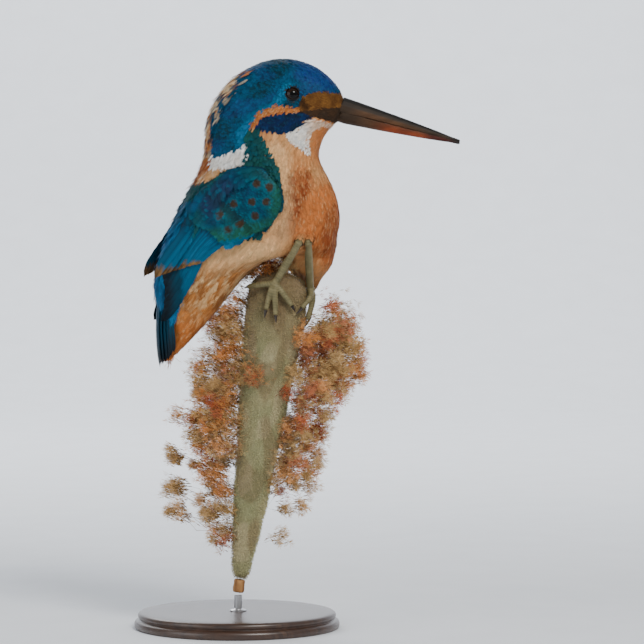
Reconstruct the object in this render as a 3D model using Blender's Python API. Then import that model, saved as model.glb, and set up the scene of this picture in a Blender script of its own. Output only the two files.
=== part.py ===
"""Common kingfisher, life size, on the head of a bulrush held by a small display stand.

Run it with blender --background --python part.py, or from Blender's text editor.
Metres, +Z up. The bird faces +X. The origin is the middle of the stand's underside.
"""

import math

import bmesh
import bpy
from mathutils import Matrix, Vector
from mathutils.bvhtree import BVHTree

MM = 0.001

# ---- driving dimensions ------------------------------------------------------------------
GAP = 0.3 * MM  # clearance between neighbouring pieces
BODY_YAW = math.radians(12)  # the trunk is turned this far away, the head is not
YAW_AXIS_X = 8 * MM  # the upright axis that the neck turns about
YAW_FROM_Z, YAW_TO_Z = 146 * MM, 176 * MM  # below and above these nothing twists

BILL_LENGTH = 46 * MM  # along the ridge, from the forehead feathers to the tip
BILL_SLOPE = math.radians(-20.9)  # of the ridge line
BILL_WIDTH = 8.4 * MM
BILL_RIDGE_ROOT = Vector((39.8, 0, 195.9)) * MM
BILL_MOUTH_ROOT = Vector((37.6, 0, 190.9)) * MM
BILL_CHIN_ROOT = Vector((36.6, 0, 187.2)) * MM
BILL_BOW = 0.5 * MM  # how far ridge and chin line bow out
BILL_ROUNDING = 0.16  # how blunt the bill is across, from 0 for a plain wedge
BILL_CUT = 0.985  # the solid ends at this share, just short of a point
BILL_LEAST = 0.45 * MM  # thinnest half of the bill

EYE_RADIUS = 3.1 * MM
EYE_AT = Vector((20.6, 10.9, 196.6)) * MM

TAIL_TOP = Vector((-29.0, 0, 130.5)) * MM
TAIL_LENGTH = 34 * MM
TAIL_SET_BACK = 1.2 * MM  # of the tip behind the root
TAIL_THICKNESS = 2.2 * MM
TAIL_THINNING = 0.45  # share of the thickness lost at the tip
TAIL_HALF_WIDTH, TAIL_SPREAD = 6.4 * MM, 3.0 * MM  # at the root, and gained by the tip
TAIL_CORNER, TAIL_CORNER_FROM = 2.4 * MM, 0.86  # rounding of the tip, and where it starts
TAIL_BOW = 1.6 * MM  # the outer feathers lie this far below the middle pair

PERCH_FOOT = Vector((1.1, 0, 18)) * MM  # lower end of the bulrush head
PERCH_TOP = Vector((16.4, 0, 131.8)) * MM
STEM_RADIUS = 2.1 * MM
STEM_CUT_Z = 13 * MM  # the stem is cut here and sits on the rod

BASE_RADIUS = 38 * MM
BASE_THICKNESS = 6 * MM
BASE_CHAMFER = 1.2 * MM
ROD_RADIUS = 1.5 * MM

# The body from the bill to the end of the undertail feathers, as straight lines across it
# seen from the side: back point x z, belly point x z, half width. All in millimetres.
STATIONS = (
    (40.0, 195.6, 38.4, 187.2, 4.0),  # edge of the feathers round the bill
    (38.2, 199.2, 35.6, 185.2, 6.6),
    (34.0, 204.0, 33.4, 182.8, 9.6),  # forehead, chin
    (27.0, 208.6, 31.8, 180.2, 12.0),
    (18.0, 210.9, 30.9, 177.6, 13.3),  # crown above the eye
    (8.5, 209.8, 30.4, 175.4, 13.9),
    (0.0, 205.2, 30.6, 173.2, 14.2),  # back of the crown, throat
    (-7.0, 197.8, 31.6, 171.0, 14.6),
    (-11.6, 188.6, 33.2, 168.2, 15.4),  # nape
    (-12.4, 179.6, 35.2, 164.8, 16.8),
    (-13.6, 171.6, 37.4, 160.0, 18.6),  # hind neck
    (-17.6, 163.4, 39.0, 154.6, 20.0),
    (-22.0, 155.2, 39.4, 149.2, 20.8),  # mantle, breast
    (-25.8, 147.2, 38.2, 144.2, 20.6),
    (-28.6, 139.6, 34.6, 140.0, 19.8),  # back, belly
    (-30.6, 132.6, 27.0, 137.8, 18.2),
    (-31.4, 126.4, 17.0, 137.0, 16.0),  # rump, crotch
    (-30.8, 121.0, 7.6, 133.2, 13.6),
    (-28.6, 116.0, 0.0, 125.4, 11.8),  # end of the uppertail feathers, vent
    (-27.6, 111.4, -6.8, 117.0, 10.2),
    (-27.2, 107.0, -13.4, 109.6, 8.4),
    (-26.6, 103.0, -18.8, 103.6, 6.4),
    (-26.2, 99.6, -23.2, 100.0, 4.2),  # end of the undertail feathers
)
RINGS_PER_STATION = 2
RING_SIDES = 24
ROUNDNESS = 2.25  # exponent of the cross-section, where 2 is an ellipse
# Between which stations the body is parted, as positions along the list above.
HEAD_CUT, NECK_CUT, VENT_CUT = 7.5, 10.5, 18.0

# The folded wing seen from the side: middle line x z, and half of its depth there.
WING_LINE = (
    (12.8, 165.6, 3.4),  # bend of the wing
    (9.4, 163.6, 8.0),
    (1.6, 158.4, 11.6),
    (-8.4, 149.8, 11.4),
    (-16.8, 139.8, 8.8),
    (-23.4, 128.4, 5.8),
    (-28.2, 118.6, 3.3),
    (-30.6, 112.4, 1.0),  # tip of the longest primary
)
WING_STEPS, WING_ROWS = 18, 7
WING_BULGE = 2.4 * MM  # how far the middle of the wing stands out of the flank
WING_EDGE = 0.9 * MM
WING_TIP_Y = 7.6 * MM  # each wing tip's distance from the middle of the back
WING_SINK = 2.0 * MM  # the blade goes this deep before the body is carved from it
WING_CUTS = (6.7, 12.0)  # grid steps where coverts, secondaries and primaries part
WING_SLOPE_STEP = 0.05  # of a row, for the direction of the middle line
WING_FREE = (0.25, 0.85)  # between these shares of its length the wing leaves the body
WING_FREE_ROUNDING = 0.25
WING_BEND_SHARE = 0.12  # the bend of the wing is rounded over this share of its length
WING_THINNING = 0.6  # share of the bulge lost at the tip
WING_TIP_SINK, WING_SKIRT = 1.0 * MM, 0.5 * MM
FAR_OUT = 60 * MM  # further to the side than any surface of the bird

# The bulrush head: share of its height, radius in millimetres.
PERCH_PROFILE = (
    (0.0, 2.2), (0.03, 3.4), (0.10, 4.5), (0.25, 6.3), (0.42, 7.7),
    (0.60, 9.2), (0.75, 10.4), (0.87, 11.2), (0.94, 10.8), (0.98, 8.4), (1.0, 4.6),
)
PERCH_SIDES = 24

# Burst seed fluff: middle x y z and half sizes x y z of each lump, in millimetres.
FLUFF_FRONT = (
    (32, 0, 107, 14, 15, 14), (37, 3, 97, 11, 12, 12), (27, -3, 85, 12, 12, 16),
    (20, 1, 63, 9, 10, 16), (14, 0, 43, 6.5, 8, 13),
)
FLUFF_REAR = (
    (-1.5, 1, 110, 9, 11, 15), (-5, 2, 91, 12, 13, 14), (-7, -2, 74, 10, 11, 14), (-6, 3, 57, 9, 10, 14),
    (-4, 0, 39, 7, 8, 13),
)
FLUFF_SIDES = (9, 6)

# Feet: where the ankle bends on the flank, where the leg ends inside the feathers, the azimuth
# and height of the foot on the perch, and which way round its toes go.
LEGS = {
    "right": (Vector((23.0, -17.0, 142.6)) * MM, Vector((25.5, -11.5, 147.0)) * MM,
              math.radians(-98), 127.4 * MM, -1),
    "left": (Vector((26.4, -14.8, 142.6)) * MM, Vector((27.5, -9.5, 147.0)) * MM,
             math.radians(-8), 126.8 * MM, 1),
}
# The lower belly, in a broad lump, a deep one and the point that hangs in front of the perch:
# middle x y z and half sizes x y z, in millimetres. The thighs are inside it.
BELLY = ((26, 0, 142.5, 13, 15, 9), (27, 1, 140.5, 11.5, 12.5, 14),
         (28, 3, 130.5, 5.5, 6, 8))
BELLY_SIDES = (13, 9)
TARSUS_RADIUS = 1.25 * MM
# Toe: turn about the perch in degrees at its root and at its tip, drop along the perch in
# millimetres, radius at root and tip in millimetres.
TOES = {
    "inner": (-16, -34, 7.0, 1.15, 0.85),
    "middle": (-3, -9, 11.0, 1.25, 0.85),
    "outer": (8, 8, 9.6, 1.15, 0.85),
    "hind": (16, 54, 2.4, 1.2, 0.9),
}
TOE_ARCH = 0.5 * MM  # the toes stand off the perch this far at their middle
TOE_CLEARANCE = 2 * GAP
CLAW_LENGTH = 2.8 * MM
CLAW_HOOK, CLAW_SET = 0.5 * MM, 0.1 * MM  # the tip turns in, and the root stands out
CLAW_RADII = (0.74 * MM, 0.12 * MM)
HEEL_PAD = 1.7 * MM

# The fluff is torn away round the left foot: middle and half sizes of that room.
FOOT_ROOM = (Vector((27, 1, 119)) * MM, Vector((7.5, 10, 11)) * MM)


# ---- materials -----------------------------------------------------------------------------
def material(name, colour, roughness, metallic=0.0):
    made = bpy.data.materials.new(name)
    made.use_nodes = True
    shader = made.node_tree.nodes["Principled BSDF"]
    shader.inputs["Base Color"].default_value = (*colour, 1)
    shader.inputs["Roughness"].default_value = roughness
    shader.inputs["Metallic"].default_value = metallic
    return made


def make_materials():
    return {
        "crown_blue": material("crown_blue", (0.02, 0.14, 0.28), 0.55),
        "mantle_teal": material("mantle_teal", (0.03, 0.20, 0.22), 0.55),
        "wing_teal": material("wing_teal", (0.02, 0.16, 0.25), 0.5),
        "tail_blue": material("tail_blue", (0.01, 0.10, 0.20), 0.5),
        "breast_orange": material("breast_orange", (0.62, 0.24, 0.07), 0.75),
        "bill_horn": material("bill_horn", (0.06, 0.04, 0.03), 0.35),
        "bill_red": material("bill_red", (0.30, 0.08, 0.03), 0.4),
        "eye_black": material("eye_black", (0.01, 0.008, 0.006), 0.05),
        "leg_scale": material("leg_scale", (0.42, 0.20, 0.08), 0.5),
        "claw_horn": material("claw_horn", (0.04, 0.03, 0.025), 0.35),
        "bulrush": material("bulrush", (0.32, 0.29, 0.15), 0.9),
        "seed_fluff": material("seed_fluff", (0.55, 0.36, 0.20), 1.0),
        "stem": material("stem", (0.36, 0.22, 0.09), 0.6),
        "base_wood": material("base_wood", (0.09, 0.05, 0.03), 0.4),
        "rod_steel": material("rod_steel", (0.55, 0.55, 0.56), 0.3, 1.0),
    }


# ---- small tools ---------------------------------------------------------------------------
def smoothstep(low, high, value):
    share = min(1.0, max(0.0, (value - low) / (high - low)))
    return share * share * (3 - 2 * share)


def turned(point):
    """Turns a point of the straight bird about the neck's upright axis, by the yaw at its height."""
    yaw = BODY_YAW * (1 - smoothstep(YAW_FROM_Z, YAW_TO_Z, point.z))
    x, y = point.x - YAW_AXIS_X, point.y
    return Vector((
        YAW_AXIS_X + x * math.cos(yaw) - y * math.sin(yaw),
        x * math.sin(yaw) + y * math.cos(yaw),
        point.z,
    ))


def curve_through(rows, at):
    """A smooth curve through rows of numbers, read at a position counted in rows."""
    last = len(rows) - 1
    index = min(int(at), last - 1)
    t = at - index
    before, start = rows[max(index - 1, 0)], rows[index]
    end, after = rows[index + 1], rows[min(index + 2, last)]
    return [
        0.5 * (
            2 * b + (c - a) * t + (2 * a - 5 * b + 4 * c - d) * t * t
            + (3 * b - a - 3 * c + d) * t ** 3
        )
        for a, b, c, d in zip(before, start, end, after)
    ]


def add_object(name, mesh, finish=None):
    made = bpy.data.objects.new(name, mesh)
    bpy.context.scene.collection.objects.link(made)
    if finish is not None:
        mesh.materials.clear()
        mesh.materials.append(finish)
    return made


def faced_out(form):
    """The form with every face pointing out of the solid."""
    bmesh.ops.recalc_face_normals(form, faces=form.faces)
    if form.calc_volume(signed=True) < 0:
        bmesh.ops.reverse_faces(form, faces=form.faces)
    return form


def to_mesh(name, form):
    """A mesh from a bmesh, with its faces pointing out."""
    faced_out(form)
    mesh = bpy.data.meshes.new(name)
    form.to_mesh(mesh)
    form.free()
    mesh.shade_smooth()
    mesh.set_sharp_from_angle(angle=math.radians(50))
    return mesh


def lofted(rings):
    """A closed form through rings of points, with a flat cap at each end."""
    form = bmesh.new()
    made = [[form.verts.new(p) for p in ring] for ring in rings]
    for first, second in zip(made, made[1:]):
        count = len(first)
        for i in range(count):
            j = (i + 1) % count
            form.faces.new((first[i], first[j], second[j], second[i]))
    form.faces.new(list(reversed(made[0])))
    form.faces.new(made[-1])
    return faced_out(form)


def swollen(form, by):
    """A copy of a form, grown by a distance on every side."""
    grown = form.copy()
    grown.normal_update()
    moves = [(v, v.normal * by * min(1.6, v.calc_shell_factor())) for v in grown.verts]
    for vertex, move in moves:
        vertex.co += move
    return grown


def combined(form, other, operation):
    """The Boolean of two forms. Both are used up."""
    objects = []
    for part in (form, other):
        mesh = bpy.data.meshes.new("working")
        faced_out(part).to_mesh(mesh)
        part.free()
        objects.append(add_object("working", mesh))
    cut = objects[0].modifiers.new("cut", "BOOLEAN")
    cut.operation = operation
    cut.solver = "EXACT"
    cut.object = objects[1]
    graph = bpy.context.evaluated_depsgraph_get()
    result = bmesh.new()
    result.from_object(objects[0], graph)
    for made in objects:
        mesh = made.data
        bpy.data.objects.remove(made)
        bpy.data.meshes.remove(mesh)
    return result


def carved(form, *neighbours, gap=GAP):
    """The form less each neighbour grown by the gap. The neighbours are kept."""
    for neighbour in neighbours:
        form = combined(form, swollen(neighbour, gap), "DIFFERENCE")
    return form


def biggest_body(form):
    """The form without the crumbs that a cut may leave."""
    left = set(form.verts)
    bodies = []
    while left:
        todo, body = [left.pop()], set()
        while todo:
            vertex = todo.pop()
            body.add(vertex)
            for edge in vertex.link_edges:
                other = edge.other_vert(vertex)
                if other in left:
                    left.discard(other)
                    todo.append(other)
        bodies.append(body)
    bodies.sort(key=len, reverse=True)
    for body in bodies[1:]:
        bmesh.ops.delete(form, geom=list(body), context="VERTS")
    return form


def trimmed(form, point, normal):
    """The form on the side of a plane that its normal points away from, closed again."""
    geometry = form.verts[:] + form.edges[:] + form.faces[:]
    cut = bmesh.ops.bisect_plane(
        form, geom=geometry, plane_co=point, plane_no=normal, clear_outer=True, dist=1e-7
    )
    rim = [e for e in cut["geom_cut"] if isinstance(e, bmesh.types.BMEdge)]
    if rim:
        bmesh.ops.contextual_create(form, geom=rim)
    return faced_out(form)


def ball(centre, sizes, around=20, down=12):
    form = bmesh.new()
    bmesh.ops.create_uvsphere(form, u_segments=around, v_segments=down, radius=1.0)
    place = Matrix.Translation(centre) @ Matrix.Diagonal((*sizes, 1.0))
    bmesh.ops.transform(form, matrix=place, verts=form.verts)
    return form


def tube(points, radii, sides=6):
    """A closed tube with flat ends along a line of points."""
    rings = []
    side = None
    for i, point in enumerate(points):
        ahead = points[min(i + 1, len(points) - 1)] - points[max(i - 1, 0)]
        ahead.normalize()
        if side is None:
            side = ahead.orthogonal().normalized()
        side = (side - ahead * side.dot(ahead)).normalized()
        across = ahead.cross(side)
        rings.append([
            point + (side * math.cos(a) + across * math.sin(a)) * radii[i]
            for a in (math.tau * k / sides for k in range(sides))
        ])
    return lofted(rings)


def turn_all(form):
    for vertex in form.verts:
        vertex.co = turned(vertex.co)
    return form


# ---- body ----------------------------------------------------------------------------------
def body_line(at):
    """Back point, belly point and half width at a position along STATIONS, in metres."""
    back_x, back_z, belly_x, belly_z, width = curve_through(STATIONS, at)
    back = Vector((back_x, 0, back_z)) * MM
    belly = Vector((belly_x, 0, belly_z)) * MM
    return back, belly, width * MM


def body_ring(at):
    back, belly, width = body_line(at)
    middle, reach = (back + belly) / 2, (back - belly) / 2
    points = []
    for k in range(RING_SIDES):
        angle = math.tau * k / RING_SIDES
        along, across = math.cos(angle), math.sin(angle)
        power = 2 / ROUNDNESS
        along = math.copysign(abs(along) ** power, along)
        across = math.copysign(abs(across) ** power, across)
        points.append(middle + reach * along + Vector((0, width * across, 0)))
    return points


def body_form():
    """Head, neck and trunk in one piece, facing straight ahead."""
    steps = (len(STATIONS) - 1) * RINGS_PER_STATION
    return lofted([body_ring(k / RINGS_PER_STATION) for k in range(steps + 1)])


def cut_plane(at):
    """A point and a tailward normal of the plane across the body at a position."""
    back, belly, _ = body_line(at)
    normal = (belly - back).cross(Vector((0, 1, 0))).normalized()
    if normal.z > 0:
        normal = -normal
    return (back + belly) / 2, normal


def body_parts(whole):
    """Head, neck, trunk and undertail, parted by three thin plane cuts."""
    cuts = [cut_plane(at) for at in (HEAD_CUT, NECK_CUT, VENT_CUT)]
    parts = {}
    for i, name in enumerate(("head", "neck", "trunk", "undertail")):
        part = whole.copy()
        if i < len(cuts):
            point, normal = cuts[i]
            part = trimmed(part, point - normal * GAP / 2, normal)
        if i > 0:
            point, normal = cuts[i - 1]
            part = trimmed(part, point + normal * GAP / 2, -normal)
        parts[name] = part
    return parts


def eye_form(side):
    form = ball(EYE_AT, (EYE_RADIUS,) * 3, 14, 8)
    for vertex in form.verts:
        vertex.co.y *= side
    return faced_out(form)


# ---- wings ---------------------------------------------------------------------------------
def wing_grid(surface, side):
    """Outer points of a folded wing: it lies on the flank and leaves the rump towards its tip."""
    grid = []
    last = len(WING_LINE) - 1
    for i in range(WING_STEPS + 1):
        share = i / WING_STEPS
        x, z, depth = curve_through(WING_LINE, share * last)
        x_next, z_next, _ = curve_through(WING_LINE, min(share * last + WING_SLOPE_STEP, last))
        x_back, z_back, _ = curve_through(WING_LINE, max(share * last - WING_SLOPE_STEP, 0))
        ahead = Vector((x_next - x_back, 0, z_next - z_back)).normalized()
        up = ahead.cross(Vector((0, 1, 0)))
        if up.z < 0:
            up = -up
        row = []
        for j in range(WING_ROWS):
            across = 2 * j / (WING_ROWS - 1) - 1
            point = (Vector((x, 0, z)) + up * depth * across) * MM
            hit, _, _, _ = surface.ray_cast(point + Vector((0, FAR_OUT, 0)), Vector((0, -1, 0)))
            flank = max(hit.y, 0) if hit is not None else 0
            free = WING_TIP_Y * smoothstep(*WING_FREE, share)
            free *= 1 - WING_FREE_ROUNDING * across * across
            lift = WING_EDGE + (WING_BULGE - WING_EDGE) * (1 - across * across)
            lift *= smoothstep(0, WING_BEND_SHARE, share) * (1 - WING_THINNING * share)
            point.y = max(flank, free) + lift + 0.3 * WING_EDGE
            row.append(point)
        grid.append(row)
    for _ in range(4):
        relax_sideways(grid)
    for row in grid:
        for point in row:
            point.y *= side
    return grid


def relax_sideways(grid):
    """Evens out how far the points of a grid stand to the side, without pulling them in."""
    before = [[p.y for p in row] for row in grid]
    for i, row in enumerate(grid):
        for j, point in enumerate(row):
            near = [before[i][j]]
            near += [before[i + k][j] for k in (-1, 1) if 0 <= i + k < len(grid)]
            near += [before[i][j + k] for k in (-1, 1) if 0 <= j + k < len(row)]
            point.y = max(sum(near) / len(near), before[i][j] - 0.1 * MM)


def blade(grid, side):
    """A closed shell with the grid as its outer face."""
    thickness = []
    for i, row in enumerate(grid):
        share = i / (len(grid) - 1)
        thickness.append(WING_SINK * (1 - share) + WING_TIP_SINK * share + WING_SKIRT)
    form = bmesh.new()
    outer = [[form.verts.new(p) for p in row] for row in grid]
    inner = [
        [form.verts.new(p - Vector((0, side * deep, 0))) for p in row]
        for row, deep in zip(grid, thickness)
    ]
    rows, columns = len(grid), len(grid[0])
    for layer in (outer, inner):
        for i in range(rows - 1):
            for j in range(columns - 1):
                form.faces.new((
                    layer[i][j], layer[i + 1][j], layer[i + 1][j + 1], layer[i][j + 1]
                ))
    rim = [(0, j) for j in range(columns)] + [(i, columns - 1) for i in range(1, rows)]
    rim += [(rows - 1, j) for j in range(columns - 2, -1, -1)]
    rim += [(i, 0) for i in range(rows - 2, 0, -1)]
    for (i, j), (k, m) in zip(rim, rim[1:] + rim[:1]):
        form.faces.new((outer[i][j], outer[k][m], inner[k][m], inner[i][j]))
    return faced_out(form)


def wing_parts(whole, side):
    """Coverts, secondaries and primaries of one wing."""
    surface = BVHTree.FromBMesh(whole)
    grid = wing_grid(surface, side)
    wing = carved(blade(grid, side), whole)
    wing = biggest_body(wing)
    middle = WING_ROWS // 2
    planes = []
    for cut in WING_CUTS:
        step = int(cut)
        before, after = grid[step][middle], grid[step + 1][middle]
        ahead = after - before
        planes.append((before.lerp(after, cut - step), Vector((ahead.x, 0, ahead.z)).normalized()))
    parts = {}
    for i, name in enumerate(("coverts", "secondaries", "primaries")):
        part = wing.copy()
        if i < len(planes):
            point, normal = planes[i]
            part = trimmed(part, point - normal * GAP / 2, normal)
        if i > 0:
            point, normal = planes[i - 1]
            part = trimmed(part, point + normal * GAP / 2, -normal)
        parts[name] = biggest_body(part)
    return parts, wing


# ---- tail ----------------------------------------------------------------------------------
def tail_form(whole, wings):
    """The closed fan of twelve tail feathers, a thin curved plate behind the undertail."""
    steps, sides = 9, 16
    rings = []
    for k in range(steps + 1):
        share = k / steps
        middle = TAIL_TOP - Vector((TAIL_SET_BACK * share, 0, TAIL_LENGTH * share))
        half = TAIL_HALF_WIDTH + TAIL_SPREAD * share
        half -= TAIL_CORNER * smoothstep(TAIL_CORNER_FROM, 1.0, share)
        thick = TAIL_THICKNESS * (1 - TAIL_THINNING * share) / 2
        ring = []
        for i in range(sides):
            angle = math.tau * i / sides
            out, across = math.cos(angle), math.sin(angle)
            bow = TAIL_BOW * across * across
            ring.append(middle + Vector((-thick * out + bow, half * across, 0)))
        rings.append(ring)
    return carved(lofted(rings), whole, *wings)


# ---- bill ----------------------------------------------------------------------------------
def bill_forms(head):
    """Upper and lower half of the bill, which meet along the mouth line."""
    way = Vector((math.cos(BILL_SLOPE), 0, math.sin(BILL_SLOPE)))
    tip = BILL_RIDGE_ROOT + way * BILL_LENGTH
    steps, sides = 14, 9
    upper, lower = [], []
    for k in range(steps + 1):
        share = k / steps * BILL_CUT
        slim = 1 - share
        bow = Vector((0, 0, BILL_BOW * math.sin(math.pi * share)))
        ridge = BILL_RIDGE_ROOT.lerp(tip, share) + bow
        mouth = BILL_MOUTH_ROOT.lerp(tip, share)
        chin = BILL_CHIN_ROOT.lerp(tip, share) - bow
        blunt = (1 - BILL_ROUNDING) * slim + BILL_ROUNDING * math.sqrt(slim)
        half = BILL_WIDTH / 2 * blunt + 0.12 * MM
        upper.append(bill_ring(mouth + Vector((0, 0, GAP / 2)), ridge - mouth, half, sides))
        lower.append(bill_ring(mouth - Vector((0, 0, GAP / 2)), chin - mouth, half * 0.94, sides))
    return carved(lofted(upper), head), carved(lofted(lower), head)


def bill_ring(edge, rise, half, sides):
    """Half an oval standing on the mouth line, towards the ridge or the chin."""
    if rise.length < BILL_LEAST:
        rise = rise.normalized() * BILL_LEAST
    points = []
    for i in range(sides):
        angle = math.pi * i / (sides - 1)
        points.append(
            edge + Vector((0, half * math.cos(angle), 0)) + rise * math.sin(angle) ** 0.85
        )
    return points


# ---- perch ---------------------------------------------------------------------------------
def perch_radius(share):
    for (low, r_low), (high, r_high) in zip(PERCH_PROFILE, PERCH_PROFILE[1:]):
        if share <= high:
            t = max(0.0, (share - low) / (high - low))
            return (r_low + (r_high - r_low) * t) * MM
    return PERCH_PROFILE[-1][1] * MM


def perch_frame():
    along = (PERCH_TOP - PERCH_FOOT).normalized()
    side = Vector((0, 1, 0))
    ahead = side.cross(along)
    return along, ahead, side


def perch_point(azimuth, height, out=0.0):
    """A point on the bulrush head, azimuth 0 towards +X, at a height along its axis from the floor."""
    along, ahead, side = perch_frame()
    share = (height - PERCH_FOOT.z) / (PERCH_TOP.z - PERCH_FOOT.z)
    middle = PERCH_FOOT.lerp(PERCH_TOP, share)
    radius = perch_radius(share) + out
    return middle + (ahead * math.cos(azimuth) + side * math.sin(azimuth)) * radius


def perch_form():
    rings = []
    for share, _ in PERCH_PROFILE:
        height = PERCH_FOOT.z + share * (PERCH_TOP.z - PERCH_FOOT.z)
        rings.append([
            perch_point(math.tau * i / PERCH_SIDES, height) for i in range(PERCH_SIDES)
        ])
    return lofted(rings)


def stem_form():
    along, _, _ = perch_frame()
    top = PERCH_FOOT - along * GAP
    drop = (top.z - STEM_CUT_Z) / along.z
    return tube([top, top - along * drop / 2, top - along * drop], [STEM_RADIUS] * 3, 14)


def lumps_form(lumps, sides):
    """Overlapping balls joined into one form, from the middle and half sizes of each."""
    form = None
    for x, y, z, a, b, c in lumps:
        lump = ball(Vector((x, y, z)) * MM, (a * MM, b * MM, c * MM), *sides)
        form = lump if form is None else combined(form, lump, "UNION")
    return form


def fluff_form(lumps, neighbours):
    """Lumps of burst fluff joined into one mass that leaves its neighbours free."""
    form = lumps_form(lumps, FLUFF_SIDES)
    for neighbour in neighbours:
        form = carved(form, neighbour, gap=1.5 * GAP)
    return biggest_body(form)


# ---- legs and feet -------------------------------------------------------------------------
def toe_points(azimuth, height, hand, toe, steps=6):
    """The middle line of a toe bent round the bulrush head."""
    start, end, drop, thick, thin = TOES[toe]
    points, radii = [], []
    for k in range(steps):
        share = k / (steps - 1)
        radius = (thick + (thin - thick) * share) * MM
        turn = hand * math.radians(start + (end - start) * share ** 0.8) * share ** 0.5
        level = height - drop * MM * share
        lift = TOE_ARCH * math.sin(math.pi * min(1, share * 1.2))
        points.append(perch_point(azimuth + turn, level, radius + TOE_CLEARANCE + lift))
        radii.append(radius)
    return points, radii


def foot_forms(azimuth, height, hand, perch):
    """One foot, its toes grown together at the root, and its four claws."""
    foot = None
    claws = {}
    for toe in TOES:
        points, radii = toe_points(azimuth, height, hand, toe)
        form = tube(points, radii)
        foot = form if foot is None else combined(foot, form, "UNION")
        ahead = (points[-1] - points[-2]).normalized()
        inward = (perch_point(0, points[-1].z) + perch_point(math.pi, points[-1].z)) / 2
        inward = (inward - points[-1]).normalized()
        line, sizes = [], []
        for k in range(4):
            share = k / 3
            line.append(
                points[-1] + ahead * (GAP + CLAW_LENGTH * share)
                + inward * (CLAW_HOOK * share * share - CLAW_SET)
            )
            sizes.append(CLAW_RADII[0] + (CLAW_RADII[1] - CLAW_RADII[0]) * share)
        claws[toe] = tube(line, sizes, 6)
    heel = perch_point(azimuth, height, TOES["middle"][3] * MM + TOE_CLEARANCE)
    pad = ball(heel, (HEEL_PAD,) * 3, 12, 8)
    foot = carved(combined(foot, pad, "UNION"), perch)
    claws = {toe: carved(form, perch, foot) for toe, form in claws.items()}
    return foot, claws, heel


def leg_form(heel, ankle, inside):
    """The tarsus from the foot up to the ankle, and the shin in from there under the feathers."""
    points = [heel.lerp(ankle, k / 4) for k in range(5)] + [inside]
    return tube(points, [TARSUS_RADIUS * (1.12 - 0.06 * abs(k - 2)) for k in range(6)], 10)


def belly_form(whole):
    """The lower belly feathers, from the underside of the trunk down over the perch."""
    return carved(lumps_form(BELLY, BELLY_SIDES), whole)


# ---- stand ---------------------------------------------------------------------------------
def base_form():
    form = bmesh.new()
    bmesh.ops.create_cone(
        form, cap_ends=True, segments=48, radius1=BASE_RADIUS, radius2=BASE_RADIUS,
        depth=BASE_THICKNESS, matrix=Matrix.Translation((0, 0, BASE_THICKNESS / 2)),
    )
    rims = [e for e in form.edges if len({round(v.co.z, 6) for v in e.verts}) == 1]
    top_rim = [e for e in rims if e.verts[0].co.z > BASE_THICKNESS / 2]
    bmesh.ops.bevel(
        form, geom=top_rim, offset=BASE_CHAMFER, segments=2, profile=0.7, affect="EDGES"
    )
    return form


def rod_form():
    along, _, _ = perch_frame()
    foot_x = PERCH_FOOT.x - along.x * (PERCH_FOOT.z - STEM_CUT_Z) / along.z
    bottom = Vector((foot_x, 0, BASE_THICKNESS + GAP))
    top = Vector((foot_x, 0, STEM_CUT_Z - 3 * GAP))
    return tube([bottom, top], [ROD_RADIUS] * 2, 20)


# ---- the model -----------------------------------------------------------------------------
def main():
    for old in list(bpy.data.objects):
        bpy.data.objects.remove(old)
    finish = make_materials()
    forms = {}

    whole = body_form()
    eyes = {"right": eye_form(-1), "left": eye_form(1)}
    parts = body_parts(whole)
    parts["head"] = carved(parts["head"], *eyes.values())
    sides = {"right": -1, "left": 1}
    wings = []
    for name, side in sides.items():
        pieces, wing = wing_parts(whole, side)
        wings.append(wing)
        for piece, form in pieces.items():
            forms[f"wing_{name}_{piece}"] = (turn_all(form), "wing_teal")
    tail = tail_form(whole, wings)
    upper, lower = bill_forms(whole)
    perch = perch_form()
    belly = belly_form(whole)

    for name, colour in (
        ("head", "crown_blue"), ("neck", "mantle_teal"),
        ("trunk", "breast_orange"), ("undertail", "breast_orange"),
    ):
        forms[name] = (turn_all(parts[name]), colour)
    forms["tail"] = (turn_all(tail), "tail_blue")
    forms["bill_upper"] = (upper, "bill_horn")
    forms["bill_lower"] = (lower, "bill_red")
    for name, form in eyes.items():
        forms[f"eye_{name}"] = (form, "eye_black")

    turn_all(whole)
    belly = carved(turn_all(belly), perch, gap=2 * GAP)
    for name, (ankle, inside, azimuth, height, hand) in LEGS.items():
        foot, claws, heel = foot_forms(azimuth, height, hand, perch)
        leg = carved(leg_form(heel, ankle, inside), whole, foot, perch)
        leg = biggest_body(leg)
        belly = carved(belly, foot, leg, *claws.values(), gap=2 * GAP)
        forms[f"leg_{name}"] = (leg, "leg_scale")
        forms[f"foot_{name}"] = (foot, "leg_scale")
        for toe, form in claws.items():
            forms[f"claw_{name}_{toe}"] = (form, "claw_horn")
    belly = biggest_body(belly)
    forms["belly"] = (belly, "breast_orange")

    foot_room = ball(FOOT_ROOM[0], FOOT_ROOM[1], 12, 8)
    near_fluff = [perch, whole, belly, forms["tail"][0], foot_room]
    forms["perch_fluff_front"] = (fluff_form(FLUFF_FRONT, near_fluff), "seed_fluff")
    forms["perch_fluff_rear"] = (fluff_form(FLUFF_REAR, near_fluff), "seed_fluff")
    forms["perch_seed_head"] = (perch, "bulrush")
    forms["perch_stem"] = (stem_form(), "stem")
    forms["stand_rod"] = (rod_form(), "rod_steel")
    forms["stand_base"] = (base_form(), "base_wood")
    whole.free()
    for wing in wings:
        wing.free()
    for node, (form, colour) in forms.items():
        add_object(node, to_mesh(node, form), finish[colour])


main()
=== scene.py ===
import math

import bmesh
import bpy
import numpy as np
from mathutils import Matrix, Vector
from mathutils.bvhtree import BVHTree


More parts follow.
